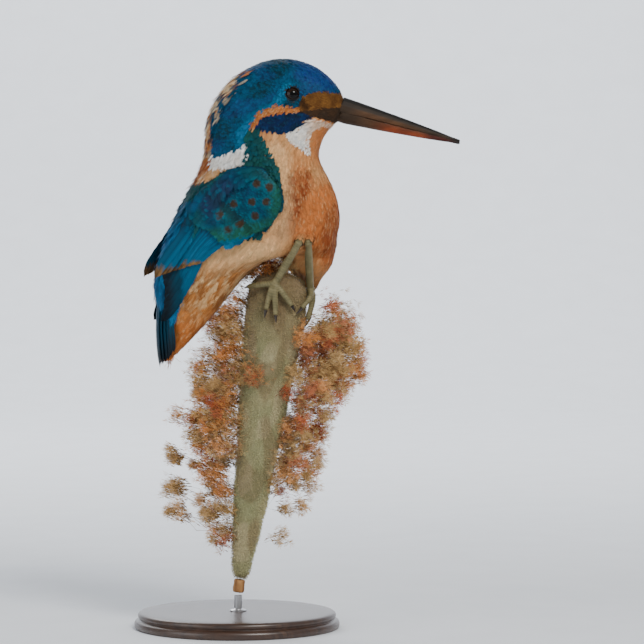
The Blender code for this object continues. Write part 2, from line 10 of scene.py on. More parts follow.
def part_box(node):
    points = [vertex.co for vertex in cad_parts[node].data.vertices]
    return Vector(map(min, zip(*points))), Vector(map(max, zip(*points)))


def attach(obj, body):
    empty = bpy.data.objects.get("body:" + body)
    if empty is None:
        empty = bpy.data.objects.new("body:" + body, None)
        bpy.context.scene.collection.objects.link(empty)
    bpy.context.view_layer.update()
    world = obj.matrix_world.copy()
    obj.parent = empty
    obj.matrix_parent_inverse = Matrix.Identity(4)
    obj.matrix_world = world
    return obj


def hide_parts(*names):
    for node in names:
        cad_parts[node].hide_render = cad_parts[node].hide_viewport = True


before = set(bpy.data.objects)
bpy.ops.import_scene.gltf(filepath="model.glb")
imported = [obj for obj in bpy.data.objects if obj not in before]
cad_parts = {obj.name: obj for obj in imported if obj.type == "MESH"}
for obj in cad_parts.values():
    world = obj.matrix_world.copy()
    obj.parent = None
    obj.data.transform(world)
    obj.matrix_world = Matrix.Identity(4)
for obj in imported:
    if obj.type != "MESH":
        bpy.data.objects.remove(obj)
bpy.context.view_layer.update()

# ==== Base and pin ========================================================================
# A small disc of dark stained wood, turned on a lathe with a bead and a groove round its edge.
# A steel pin with a collar is let into it, and the cut stem is pushed down over the pin.

MM = 0.001
WELD = 0.001 * MM


def lathe(name, profile, sides, middle=(0, 0)):
    """A turned form from (radius, height) steps in millimetres, bottom to top."""
    form = bmesh.new()
    rim = [form.verts.new((radius * MM, 0, height * MM)) for radius, height in profile]
    edges = [form.edges.new(pair) for pair in zip(rim, rim[1:])]
    bmesh.ops.spin(
        form, geom=rim + edges, angle=math.tau, steps=sides, axis=(0, 0, 1), cent=(0, 0, 0)
    )
    bmesh.ops.remove_doubles(form, verts=form.verts, dist=WELD)
    bmesh.ops.translate(form, vec=(middle[0], middle[1], 0), verts=form.verts)
    bmesh.ops.recalc_face_normals(form, faces=form.faces)
    mesh = bpy.data.meshes.new(name)
    form.to_mesh(mesh)
    form.free()
    mesh.shade_smooth()
    mesh.set_sharp_from_angle(angle=math.radians(40))
    return mesh


def new_material(name, roughness, metallic=0.0):
    made = bpy.data.materials.new(name)
    made.use_nodes = True
    shader = made.node_tree.nodes["Principled BSDF"]
    shader.inputs["Roughness"].default_value = roughness
    shader.inputs["Metallic"].default_value = metallic
    return made, made.node_tree.nodes, made.node_tree.links, shader


def grain(nodes, links, scale, stretch=(1, 1, 1), detail=4.0, twist=0.0):
    """Noise over the piece's own space, stretched as the grain runs."""
    place = nodes.new("ShaderNodeTexCoord")
    spread = nodes.new("ShaderNodeMapping")
    spread.inputs["Scale"].default_value = stretch
    links.new(place.outputs["Object"], spread.inputs["Vector"])
    noise = nodes.new("ShaderNodeTexNoise")
    noise.inputs["Scale"].default_value = scale
    noise.inputs["Detail"].default_value = detail
    noise.inputs["Distortion"].default_value = twist
    links.new(spread.outputs["Vector"], noise.inputs["Vector"])
    return noise.outputs["Fac"]


def shades(nodes, links, source, *stops):
    """A ramp of colours along a value, each stop a position and a colour."""
    ramp = nodes.new("ShaderNodeValToRGB")
    while len(ramp.color_ramp.elements) < len(stops):
        ramp.color_ramp.elements.new(0.5)
    for element, (position, colour) in zip(ramp.color_ramp.elements, stops):
        element.position = position
        element.color = (*colour, 1)
    links.new(source, ramp.inputs["Fac"])
    return ramp.outputs["Color"]


def relief(nodes, links, shader, source, strength, distance):
    bump = nodes.new("ShaderNodeBump")
    bump.inputs["Strength"].default_value = strength
    bump.inputs["Distance"].default_value = distance * MM
    links.new(source, bump.inputs["Height"])
    links.new(bump.outputs["Normal"], shader.inputs["Normal"])


def add_piece(name, mesh, material, slot, *nodes):
    """A visible piece that rides with the model and stands for the named solids."""
    piece = bpy.data.objects.new(name, mesh)
    bpy.context.scene.collection.objects.link(piece)
    mesh.materials.clear()
    mesh.materials.append(material)
    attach(piece, "root")
    if nodes:
        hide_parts(*nodes)
    return piece


_, base_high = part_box("stand_base")
base_radius, base_top = base_high.x / MM, base_high.z / MM
# the bead and groove, as steps beyond the rim and up, for a disc of this thickness in mm
EDGE_THICKNESS = 6
BASE_EDGE = [(-3.2, 0.0), (-0.6, 0.0), (-0.15, 0.35), (0.0, 1.0), (0.0, 1.9), (-0.3, 2.6),
             (-0.9, 3.05), (-1.5, 3.2), (-1.75, 3.5), (-1.7, 3.9), (-1.35, 4.3), (-1.3, 4.8),
             (-1.55, 5.4), (-2.1, 5.8), (-3.0, 6.0), (-9.0, 6.0)]
base_profile = [(0, 0)]
base_profile += [(base_radius + out, base_top * up / EDGE_THICKNESS) for out, up in BASE_EDGE]
base_profile += [(0, base_top)]
WOOD_BLACK, WOOD_BROWN = (0.018, 0.009, 0.006), (0.055, 0.026, 0.014)
WOOD_DEEP, WOOD_LIGHT = (0.032, 0.015, 0.009), (0.085, 0.042, 0.022)
wood, nodes, links, shader = new_material("dark_wood", 0.38)
shader.inputs["Coat Weight"].default_value = 0.35
shader.inputs["Coat Roughness"].default_value = 0.25
rings = grain(nodes, links, 38, (1, 5.5, 1), 6, 1.2)
links.new(
    shades(nodes, links, rings, (0.28, WOOD_BLACK), (0.47, WOOD_BROWN), (0.60, WOOD_DEEP),
           (0.75, WOOD_LIGHT)),
    shader.inputs["Base Color"],
)
relief(nodes, links, shader, grain(nodes, links, 420, (1, 14, 1), 3), 0.25, 0.05)
add_piece("stand_wooden_base", lathe("stand_wooden_base", base_profile, 128), wood, "base_wood",
          "stand_base")

rod_low, rod_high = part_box("stand_rod")
rod_middle = ((rod_low.x + rod_high.x) / 2, (rod_low.y + rod_high.y) / 2)
rod_radius = (rod_high.x - rod_low.x) / 2 / MM
rod_foot, rod_top = base_top, rod_high.z / MM
COLLAR_RADIUS = 3.1
rod_profile = [(0, rod_foot - 0.4), (COLLAR_RADIUS, rod_foot - 0.4),
               (COLLAR_RADIUS, rod_foot + 0.35), (COLLAR_RADIUS - 0.3, rod_foot + 0.65),
               (rod_radius + 0.35, rod_foot + 0.75), (rod_radius, rod_foot + 1.05),
               (rod_radius, rod_top - 0.2), (rod_radius - 0.2, rod_top), (0, rod_top)]
STEEL_GREY, STEEL_BRIGHT = (0.36, 0.36, 0.37), (0.62, 0.62, 0.63)
steel, nodes, links, shader = new_material("brushed_steel", 0.32, 1.0)
brushing = grain(nodes, links, 900, (1, 1, 0.08), 2)
links.new(
    shades(nodes, links, brushing, (0.3, STEEL_GREY), (0.7, STEEL_BRIGHT)),
    shader.inputs["Base Color"],
)
relief(nodes, links, shader, grain(nodes, links, 1400, (1, 1, 0.05), 2), 0.15, 0.02)
add_piece("stand_steel_pin", lathe("stand_steel_pin", rod_profile, 48, rod_middle), steel,
          "rod_steel", "stand_rod")

# ==== Bulrush stem and seed head ==========================================================
# A short length of dry bulrush: the ribbed brown stem, and the long head of packed seeds on it,
# whose felted surface is the tips of thousands of short hairs.


def solid_of(node, grow=0.0, place=None):
    """A welded copy of one of the frame's solids, grown by a distance."""
    form = bmesh.new()
    form.from_mesh(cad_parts[node].data)
    bmesh.ops.remove_doubles(form, verts=form.verts, dist=2 * WELD)
    form.normal_update()
    for vertex in form.verts:
        vertex.co += vertex.normal * grow
    if place is not None:
        for vertex, spot in zip(form.verts, place([v.co for v in form.verts])):
            vertex.co = spot
    return form


def fused(name, forms, voxel):
    """Several closed forms melted into one surface."""
    raw = bpy.data.meshes.new(name + "_raw")
    whole = bmesh.new()
    for form in forms:
        form.to_mesh(raw)
        whole.from_mesh(raw)
        form.free()
    whole.to_mesh(raw)
    whole.free()
    body = bpy.data.objects.new(name + "_raw", raw)
    bpy.context.scene.collection.objects.link(body)
    remesh = body.modifiers.new("fuse", "REMESH")
    remesh.mode = "VOXEL"
    remesh.voxel_size = voxel * MM
    graph = bpy.context.evaluated_depsgraph_get()
    mesh = bpy.data.meshes.new_from_object(body.evaluated_get(graph))
    mesh.name = name
    bpy.data.objects.remove(body)
    bpy.data.meshes.remove(raw)
    mesh.shade_smooth()
    return mesh


def points_of(mesh):
    found = np.empty(len(mesh.vertices) * 3)
    mesh.vertices.foreach_get("co", found)
    return found.reshape(-1, 3)


def normals_of(mesh):
    found = np.empty(len(mesh.vertices) * 3)
    mesh.vertex_normals.foreach_get("vector", found)
    return found.reshape(-1, 3)


def faces_of(mesh):
    mesh.calc_loop_triangles()
    found = np.empty(len(mesh.loop_triangles) * 3, np.int64)
    mesh.loop_triangles.foreach_get("vertices", found)
    return found.reshape(-1, 3)


def set_points(mesh, points):
    mesh.vertices.foreach_set("co", np.asarray(points, np.float32).ravel())
    mesh.update()


def set_tint(mesh, tint):
    colours = mesh.color_attributes.new("tint", "FLOAT_COLOR", "POINT")
    filled = np.ones((len(tint), 4), np.float32)
    filled[:, :3] = np.clip(tint, 0, 1)
    colours.data.foreach_set("color", filled.ravel())


def relaxed(mesh, points, rounds):
    """Points of a mesh evened out over its edges, each drawn half way to its neighbours."""
    ends = np.empty(len(mesh.edges) * 2, np.int64)
    mesh.edges.foreach_get("vertices", ends)
    one, other = np.concatenate([ends.reshape(-1, 2), ends.reshape(-1, 2)[:, ::-1]]).T
    count = np.maximum(np.bincount(one, minlength=len(points)), 1)[:, None]
    for _ in range(rounds):
        total = np.stack([np.bincount(one, points[other, k], len(points)) for k in range(3)], 1)
        points = points + 0.5 * (total / count - points)
    return points


def unit(vectors):
    size = np.linalg.norm(vectors, axis=-1, keepdims=True)
    return vectors / np.maximum(size, 1e-12)


def smoothstep(low, high, value):
    share = np.clip((value - low) / (high - low), 0, 1)
    return share * share * (3 - 2 * share)


def mixed(first, second, share):
    share = np.asarray(share, float)
    if share.ndim and np.ndim(first) + np.ndim(second) > 0:
        share = share[..., None] if share.shape[-1:] != (1,) else share
    return np.asarray(first) + (np.asarray(second) - first) * share


def blotches(points, size, seed):
    """Smooth random values from 0 to 1 that change over a size in millimetres."""
    rng = np.random.default_rng(seed)
    total = np.zeros(len(points))
    for _ in range(12):
        way = unit(rng.normal(0, 1, 3)) * math.tau / (size * MM * rng.uniform(0.7, 1.6))
        total += np.sin(points @ way + rng.uniform(0, math.tau))
    return 0.5 + 0.5 * np.tanh(total / 3)


def scattered(points, faces, wanted, spacing, rng):
    """Places spread evenly over the wanted faces, about a spacing in millimetres apart."""
    spacing = spacing * MM
    corners = points[faces]
    area = np.linalg.norm(
        np.cross(corners[:, 1] - corners[:, 0], corners[:, 2] - corners[:, 0]), axis=1
    ) / 2 * wanted
    tries = int(4 * area.sum() / (spacing * spacing))
    face = rng.choice(len(faces), tries, p=area / area.sum())
    a, b = rng.random((2, tries, 1))
    flip = a + b > 1
    a, b = np.where(flip, 1 - a, a), np.where(flip, 1 - b, b)
    spots = corners[face, 0] * (1 - a - b) + corners[face, 1] * a + corners[face, 2] * b
    cells = np.floor(spots / spacing).astype(int).tolist()
    taken, kept = {}, []
    near = [(i, j, k) for i in (-1, 0, 1) for j in (-1, 0, 1) for k in (-1, 0, 1)]
    squared = (0.8 * spacing) ** 2
    for index, ((x, y, z), (p, q, r)) in enumerate(zip(cells, spots.tolist())):
        crowded = any(
            (p - u) ** 2 + (q - v) ** 2 + (r - w) ** 2 < squared
            for i, j, k in near
            for u, v, w in taken.get((x + i, y + j, z + k), ())
        )
        if not crowded:
            taken.setdefault((x, y, z), []).append((p, q, r))
            kept.append(index)
    return spots[kept], face[kept]


def build_mesh(name, points, faces, normals, tint, maps=None):
    """A mesh from arrays, with normals, colours and UV maps given per point."""
    mesh = bpy.data.meshes.new(name)
    mesh.vertices.add(len(points))
    mesh.vertices.foreach_set("co", np.asarray(points, np.float32).ravel())
    mesh.loops.add(faces.size)
    mesh.loops.foreach_set("vertex_index", faces.astype(np.int32).ravel())
    mesh.polygons.add(len(faces))
    sides = faces.shape[1]
    mesh.polygons.foreach_set("loop_start", np.arange(0, faces.size, sides, dtype=np.int32))
    mesh.update(calc_edges=True)
    mesh.shade_smooth()
    for title, uv in (maps or {}).items():
        layer = mesh.uv_layers.new(name=title)
        layer.data.foreach_set("uv", np.asarray(uv, np.float32)[faces.ravel()].ravel())
    set_tint(mesh, tint)
    if normals is not None:
        mesh.normals_split_custom_set_from_vertices(unit(normals).tolist())
    return mesh


# the width of one tuft's patch, as a share of the map
PATCH = 0.003


def spread_map(places, along, across):
    """A patch of the map for each tuft, at the place where it is rooted."""
    low, high = places.min(axis=0), places.max(axis=0)
    places = 0.01 + 0.98 * (places - low) / np.maximum(high - low, 1e-9)
    patch = np.stack([across * 0.5, along - 0.5], axis=-1) * PATCH
    return places[:, None] + patch


def round_map(points, start, end):
    """Places unrolled round a line from start to end."""
    way = unit(end - start)
    side = unit(np.cross(way, (0, 1, 0)))
    out = points - start
    turn = np.arctan2(out @ np.cross(way, side), out @ side)
    return np.stack([turn / math.tau, out @ way / np.linalg.norm(end - start)], axis=1)


def hairs(name, roots, middles, tips, widths, tint_root, tint_tip, places):
    """Fine tapered hairs, each a sliver bent at its middle."""
    count = len(roots)
    way = unit(tips - roots)
    side = unit(np.cross(way, unit(np.roll(way, 1, axis=1) + 0.31)))
    half = side * widths[:, None] * 0.5
    points = np.stack([roots, middles - half, middles + half, tips], axis=1)
    first = np.arange(count)[:, None, None] * 4
    faces = (first + np.array([(0, 1, 2), (1, 3, 2)])[None]).reshape(-1, 3)
    up = unit(np.cross(way, side))
    normals = np.repeat(up[:, None], 4, axis=1)
    middle_tint = (tint_root + tint_tip) / 2
    tint = np.stack([tint_root, middle_tint, middle_tint, tint_tip], axis=1)
    along = np.broadcast_to(np.array([0.0, 0.5, 0.5, 1.0]), (count, 4))
    across = np.broadcast_to(np.array([0.0, -1.0, 1.0, 0.0]), (count, 4))
    return build_mesh(
        name, points.reshape(-1, 3), faces, normals.reshape(-1, 3), tint.reshape(-1, 3),
        {"OFBake": spread_map(places, along, across).reshape(-1, 2)},
    )


def own_colours(nodes, links, shader, source, source_low, low, high):
    """The piece's own colours, brought from low to high as a value goes up to 1."""
    tint = nodes.new("ShaderNodeAttribute")
    tint.attribute_name = "tint"
    dim = nodes.new("ShaderNodeMapRange")
    dim.inputs["From Min"].default_value = source_low
    dim.inputs["To Min"].default_value = low
    dim.inputs["To Max"].default_value = high
    links.new(source, dim.inputs["Value"])
    shade = nodes.new("ShaderNodeVectorMath")
    shade.operation = "SCALE"
    links.new(tint.outputs["Color"], shade.inputs[0])
    links.new(dim.outputs["Result"], shade.inputs["Scale"])
    links.new(shade.outputs[0], shader.inputs["Base Color"])


def tinted_material(name, roughness, sheen=0.0, scale=900.0, low=0.75, high=1.12):
    """A finish that takes the piece's own colours, mottled finely."""
    made, nodes, links, shader = new_material(name, roughness)
    shader.inputs["Sheen Weight"].default_value = sheen
    shader.inputs["Sheen Roughness"].default_value = 0.45
    shader.inputs["Specular IOR Level"].default_value = 0.2
    own_colours(nodes, links, shader, grain(nodes, links, scale), 0, low, high)
    return made, nodes, links, shader


# the seed head's middle line
HEAD_FOOT = np.array([1.1, 0, 18]) * MM
HEAD_TOP = np.array([16.4, 0, 131.8]) * MM
HEAD_WAY = unit(HEAD_TOP - HEAD_FOOT)

stem_mesh = fused("stem", [solid_of("perch_stem")], 0.35)
stem_points = relaxed(stem_mesh, points_of(stem_mesh), 3)
stem_round = round_map(stem_points, HEAD_FOOT, HEAD_TOP)
RIBS = 17
ribs = stem_round[:, 0] * math.tau * RIBS + 3 * blotches(stem_points, 9, 21)
ribs = 0.10 * MM * np.sin(ribs)
ribs += 0.12 * MM * (blotches(stem_points, 2.2, 22) - 0.5)
set_points(stem_mesh, stem_points + normals_of(stem_mesh) * ribs[:, None])
STEM_DARK, STEM_PALE = np.array([0.20, 0.085, 0.030]), np.array([0.56, 0.29, 0.11])
stem_fade = 0.15 + 0.75 * blotches(stem_points * (1, 1, 0.2), 1.6, 23)
set_tint(stem_mesh, mixed(STEM_DARK, STEM_PALE, stem_fade))
dry_stem, nodes, links, shader = tinted_material("dry_stem", 0.6, scale=700)
relief(nodes, links, shader, grain(nodes, links, 1500, (1, 1, 0.06), 3), 0.3, 0.08)
add_piece("bulrush_stem", stem_mesh, dry_stem, "stem", "perch_stem")

seed_mesh = fused("seed_head", [solid_of("perch_seed_head", -0.5 * MM)], 0.6)
seed_points = relaxed(seed_mesh, points_of(seed_mesh), 6)
seed_normals = normals_of(seed_mesh)
swell = 0.5 * (blotches(seed_points, 9, 31) - 0.5) + 0.35 * (blotches(seed_points, 3, 32) - 0.5)
seed_points = seed_points + seed_normals * swell[:, None] * MM
set_points(seed_mesh, seed_points)
seed_normals = normals_of(seed_mesh)
KHAKI, OLIVE = np.array([0.52, 0.46, 0.24]), np.array([0.40, 0.40, 0.20])
UMBER, STRAW = np.array([0.23, 0.130, 0.055]), np.array([0.68, 0.58, 0.34])


def seed_head_tint(points):
    """Straw to olive felt, browner at the top, with worn patches."""
    height = (points[:, 2] - HEAD_FOOT[2]) / (HEAD_TOP[2] - HEAD_FOOT[2])
    tint = mixed(KHAKI, OLIVE, blotches(points, 14, 41))
    tint = mixed(tint, STRAW, 0.55 * smoothstep(0.55, 0.8, blotches(points * (1, 1, 0.6), 8, 42)))
    tint = mixed(tint, UMBER, 0.70 * smoothstep(0.66, 0.98, height))
    patches = smoothstep(0.58, 0.82, blotches(points * (1, 1, 0.5), 10, 43))
    return mixed(tint, UMBER, 0.4 * patches)


# the head's own surface is painted darker than the felt over it, as painted shade deep in the pile
set_tint(seed_mesh, seed_head_tint(seed_points) * 0.65)
felt, nodes, links, shader = tinted_material("seed_felt", 0.95, sheen=0.3)
relief(nodes, links, shader, grain(nodes, links, 1800, (1, 1, 1), 2), 0.6, 0.15)
add_piece("bulrush_head", seed_mesh, felt, "bulrush", "perch_seed_head")

FELT_SPACING, FELT_BUNCH = 0.62, 5
rng = np.random.default_rng(5)
seed_faces = faces_of(seed_mesh)
roots, face = scattered(seed_points, seed_faces, np.ones(len(seed_faces)), FELT_SPACING, rng)
ups = unit(seed_normals[seed_faces[face]].mean(axis=1))
roots, ups = np.repeat(roots, FELT_BUNCH, axis=0), np.repeat(ups, FELT_BUNCH, axis=0)
roots = roots + rng.normal(0, 0.16 * MM, roots.shape)
stray = rng.normal(0, 0.42, roots.shape)
reach = rng.uniform(0.55, 1.15, len(roots))[:, None] * MM
ways = unit(ups * 0.9 + stray - HEAD_WAY * 0.35)
tint = seed_head_tint(roots) * rng.uniform(0.7, 1.3, (len(roots), 1))
# each felt hair is painted darker at its root than at its tip, as painted shade in the pile
add_piece(
    "bulrush_felt_hairs",
    hairs("bulrush_felt_hairs", roots - ups * 0.1 * MM, roots + ways * reach * 0.5,
          roots + ways * reach - HEAD_WAY * 0.12 * MM, rng.uniform(0.10, 0.17, len(roots)) * MM,
          tint * 0.7, tint * 1.15, round_map(roots, HEAD_FOOT, HEAD_TOP)),
    felt, "bulrush",
)

# ==== Bursting seed fluff =================================================================
# Ripe seed that has burst from the head on both sides and hangs there, matted in clumps. Each
# seed is a brown grain under a parasol of silky hairs, and fine threads tie the clumps in.

TAN, AMBER = np.array([0.56, 0.33, 0.11]), np.array([0.78, 0.29, 0.060])
RUST, CREAM_FLUFF = np.array([0.52, 0.075, 0.012]), np.array([0.86, 0.62, 0.34])
silk, nodes, links, shader = tinted_material("seed_silk", 0.7, sheen=0.12, low=0.9, high=1.05)
# clumps in each mass, the share of them that is rust red, and the seed of its random draws
FLUFF = {"perch_fluff_front": (130, 0.30, 61), "perch_fluff_rear": (128, 0.12, 62)}
PER_CLUMP, PER_SEED, THREADS = 38, 10, 120
CLUMP_GAP = 3.4 * MM
# tufts that stand off the main clumps: on the near face, over the top and low behind, each
# with its middle and half sizes in mm, and how many
LOOSE_TUFTS = {
    "perch_fluff_front": [((7.5, -7.6, 94), (1.6, 0.8, 1.6), 5), ((24, 0, 62), (8, 6, 17), 15)],
    "perch_fluff_rear": [((9.5, 1.5, 133.6), (9.5, 7, 1.5), 26), ((-15, 0, 62), (11, 6, 21), 26)],
}
for node, (clumps, rusty, seed) in FLUFF.items():
    rng = np.random.default_rng(seed)
    low, high = (np.array(corner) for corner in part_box(node))
    solid = solid_of(node)
    tree = BVHTree.FromBMesh(solid)
    solid.free()
    centres = []
    while len(centres) < clumps:
        spot = low + (high - low) * rng.random(3)
        found, normal, _, _ = tree.find_nearest(Vector(spot))
        outside = (Vector(spot) - found).dot(normal) > 0
        thin = rng.random() > 0.35 + 0.65 * smoothstep(35 * MM, 80 * MM, spot[2])
        close = any(np.linalg.norm(spot - other) < CLUMP_GAP for other in centres)
        if not outside and not thin and not close:
            centres.append(spot)
    for middle, spread, number in LOOSE_TUFTS[node]:
        around = rng.uniform(-1, 1, (number, 3)) * spread
        centres.extend((around + middle) * MM)
    centres = np.array(centres)
    standing_off = np.arange(clumps, len(centres))
    clumps = len(centres)
    dice = rng.random(clumps)
    hue = np.where(dice[:, None] < rusty, RUST, np.where(dice[:, None] < 0.55, AMBER, TAN))
    hue = mixed(hue, CREAM_FLUFF, 0.25 * rng.random(clumps))
    size = rng.uniform(1.2, 2.3, clumps) * MM
    size = size * (0.75 + 0.25 * smoothstep(30 * MM, 70 * MM, centres[:, 2]))
    # those that stand off low down are small and tan
    apart = smoothstep(84 * MM, 76 * MM, centres[:, 2]) * (np.arange(clumps) >= standing_off[0])
    hue = mixed(hue, mixed(TAN, CREAM_FLUFF, 0.3 * rng.random(clumps)), 0.75 * apart)
    size = size * (1 - 0.25 * apart)
    # each clump's seeds: the crown of the parasol, the grain under it and the hairs round it
    crown = np.repeat(centres, PER_CLUMP, axis=0)
    loose = rng.normal(0, 1, crown.shape) * np.repeat(size, PER_CLUMP)[:, None]
    crown = crown + loose * (1, 1, 1.15)
    inward = HEAD_FOOT + HEAD_WAY * ((crown - HEAD_FOOT) @ HEAD_WAY)[:, None] - crown
    tail = unit(inward + rng.normal(0, 6 * MM, crown.shape) - (0, 0, 4 * MM))
    tint = np.repeat(hue, PER_CLUMP, axis=0) * rng.uniform(0.75, 1.2, (len(crown), 1))
    grains = crown + tail * rng.uniform(1.6, 2.6, (len(crown), 1)) * MM
    opened = np.repeat(-tail, PER_SEED, axis=0) + rng.normal(0, 0.75, (len(crown) * PER_SEED, 3))
    opened = unit(opened)
    start = np.repeat(crown, PER_SEED, axis=0)
    reach = rng.uniform(1.5, 2.9, (len(start), 1)) * MM
    bow = rng.normal(0, 0.22 * MM, start.shape)
    hair_tint = np.repeat(tint, PER_SEED, axis=0)
    # threads from the seed head to every tuft that stands off, and to some of the others
    others = rng.integers(0, clumps, THREADS - len(standing_off))
    chosen = np.concatenate([standing_off, others])
    anchor = centres[chosen]
    hang = HEAD_FOOT + HEAD_WAY * ((anchor - HEAD_FOOT) @ HEAD_WAY)[:, None]
    hang = hang + unit(anchor - hang) * 6 * MM - (0, 0, 3 * MM)
    starts = np.concatenate([start, crown, hang])
    middles = np.concatenate([
        start + opened * reach * 0.5 + bow,
        (crown + grains) / 2,
        (hang + anchor) / 2 + rng.normal(0, 2.2 * MM, anchor.shape) - (0, 0, 2 * MM),
    ])
    ends = np.concatenate([start + opened * reach, grains, anchor])
    widths = np.concatenate([
        rng.uniform(0.09, 0.16, len(start)), np.full(len(crown), 0.34),
        np.where(np.arange(THREADS) < len(standing_off), 0.20, 0.10),
    ]) * MM
    dark = np.concatenate([hair_tint * 0.85, tint * 0.4, np.tile(UMBER * 0.6, (THREADS, 1))])
    light = np.concatenate([
        mixed(hair_tint, CREAM_FLUFF, 0.12), tint * 0.3, np.tile(UMBER, (THREADS, 1)),
    ])
    places = round_map(starts, HEAD_FOOT, HEAD_TOP)
    name = node.replace("perch_", "bulrush_")
    mesh = hairs(name, starts, middles, ends, widths, dark, light, places)
    add_piece(name, mesh, silk, "seed_fluff", node)

# ==== Skin shape ==========================================================================
# The bird's hide in one piece, drawn over head, neck, trunk, belly and undertail with no seam.
# It lies under the feathers by their depth, and sinks in under the lids round the eyes.

NECK_AXIS_X = 8 * MM
TRUNK_YAW = math.radians(12)
YAW_FROM_Z, YAW_TO_Z = 146 * MM, 176 * MM


def posed(points, by=1.0):
    """Points of the straight bird, with the trunk turned about the neck under the still head."""
    points = np.asarray(points, float)
    yaw = by * TRUNK_YAW * (1 - smoothstep(YAW_FROM_Z, YAW_TO_Z, points[..., 2]))
    x, y = points[..., 0] - NECK_AXIS_X, points[..., 1]
    return np.stack([
        NECK_AXIS_X + x * np.cos(yaw) - y * np.sin(yaw),
        x * np.sin(yaw) + y * np.cos(yaw),
        points[..., 2],
    ], axis=-1)


def straight(points):
    """Points of the posed bird, turned back to the straight one."""
    return posed(points, -1.0)


def posed_ways(points, ways):
    """Directions at points of the straight bird, turned as the pose turns them."""
    step = 0.01 * MM
    return unit(posed(points + unit(ways) * step) - posed(points))


FLESH = ("head", "neck", "trunk", "undertail", "belly")
eye_low, eye_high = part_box("eye_right")
EYE = (np.array(eye_low) + np.array(eye_high)) / 2
EYE_RADIUS = (eye_high.z - eye_low.z) / 2
bill_low, bill_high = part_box("bill_upper")
BILL_ROOT = np.array([bill_low.x, 0, bill_high.z - 5 * MM])


def from_eye(points):
    """Distance from the middle of the nearer eye."""
    return np.linalg.norm(points * (1, 0, 1) + np.abs(points) * (0, -1, 0) - EYE, axis=1)


# how deep the coat over the skin is, and how far the solids are grown so that they fuse
COAT_FACE, COAT_BODY, GROWN = 0.55 * MM, 1.7 * MM, 0.25 * MM
skin_mesh = fused("skin", [solid_of(node, GROWN, straight) for node in FLESH], 0.55)
skin_points = relaxed(skin_mesh, points_of(skin_mesh), 14)
set_points(skin_mesh, skin_points)
depth = mixed(COAT_FACE, COAT_BODY, smoothstep(
    14 * MM, 50 * MM, np.linalg.norm(skin_points - BILL_ROOT, axis=1)))
depth = (depth + GROWN) * smoothstep(3.4 * MM, 6.5 * MM, from_eye(skin_points))
skin_points = relaxed(skin_mesh, skin_points - normals_of(skin_mesh) * depth[:, None], 4)
set_points(skin_mesh, skin_points)
skin_normals = normals_of(skin_mesh)
skin_faces = faces_of(skin_mesh)
face_normals = unit(skin_normals[skin_faces].sum(axis=1))
skin_tree = BVHTree.FromPolygons(skin_points.tolist(), skin_faces.tolist())


def onto_skin(points):
    """The nearest points of the skin, and its normals there."""
    hits = [skin_tree.find_nearest(Vector(p)) for p in points]
    return np.array([h[0] for h in hits]), face_normals[[h[2] for h in hits]]


# ==== Markings ============================================================================
# The colours that skin and feathers share: dark blue cap, ochre lores, an ear stripe over a
# navy malar leaf, white throat and neck patch, a green wedge to the cheek and orange below.

CAP_TEAL, CAP_BLUE = np.array([0.001, 0.048, 0.100]), np.array([0.003, 0.028, 0.165])
CAP_DARK, CAP_AZURE = np.array([0.002, 0.019, 0.026]), np.array([0.004, 0.150, 0.280])
ORANGE_TIP, CREAM_TIP = np.array([0.46, 0.150, 0.030]), np.array([0.70, 0.52, 0.30])
LORE_OCHRE, LORE_BROWN = np.array([0.210, 0.090, 0.020]), np.array([0.095, 0.038, 0.010])
EAR_ORANGE, EAR_BROWN = np.array([0.480, 0.155, 0.038]), np.array([0.300, 0.080, 0.018])
MALAR_NAVY, GAPE_BROWN = np.array([0.001, 0.010, 0.026]), np.array([0.036, 0.022, 0.013])
WHITE, PEACH = np.array([0.780, 0.780, 0.750]), np.array([0.570, 0.290, 0.115])
ORANGE, RUSTY = np.array([0.510, 0.135, 0.026]), np.array([0.235, 0.050, 0.013])
MANTLE_GREEN, MANTLE_TEAL = np.array([0.003, 0.066, 0.054]), np.array([0.001, 0.042, 0.056])
BACK_AZURE, BACK_BLUE = np.array([0.003, 0.140, 0.300]), np.array([0.002, 0.062, 0.165])
FLANK_OCHRE, FLANK_BROWN = np.array([0.520, 0.200, 0.050]), np.array([0.260, 0.095, 0.026])
CREAM = np.array([0.780, 0.530, 0.260])

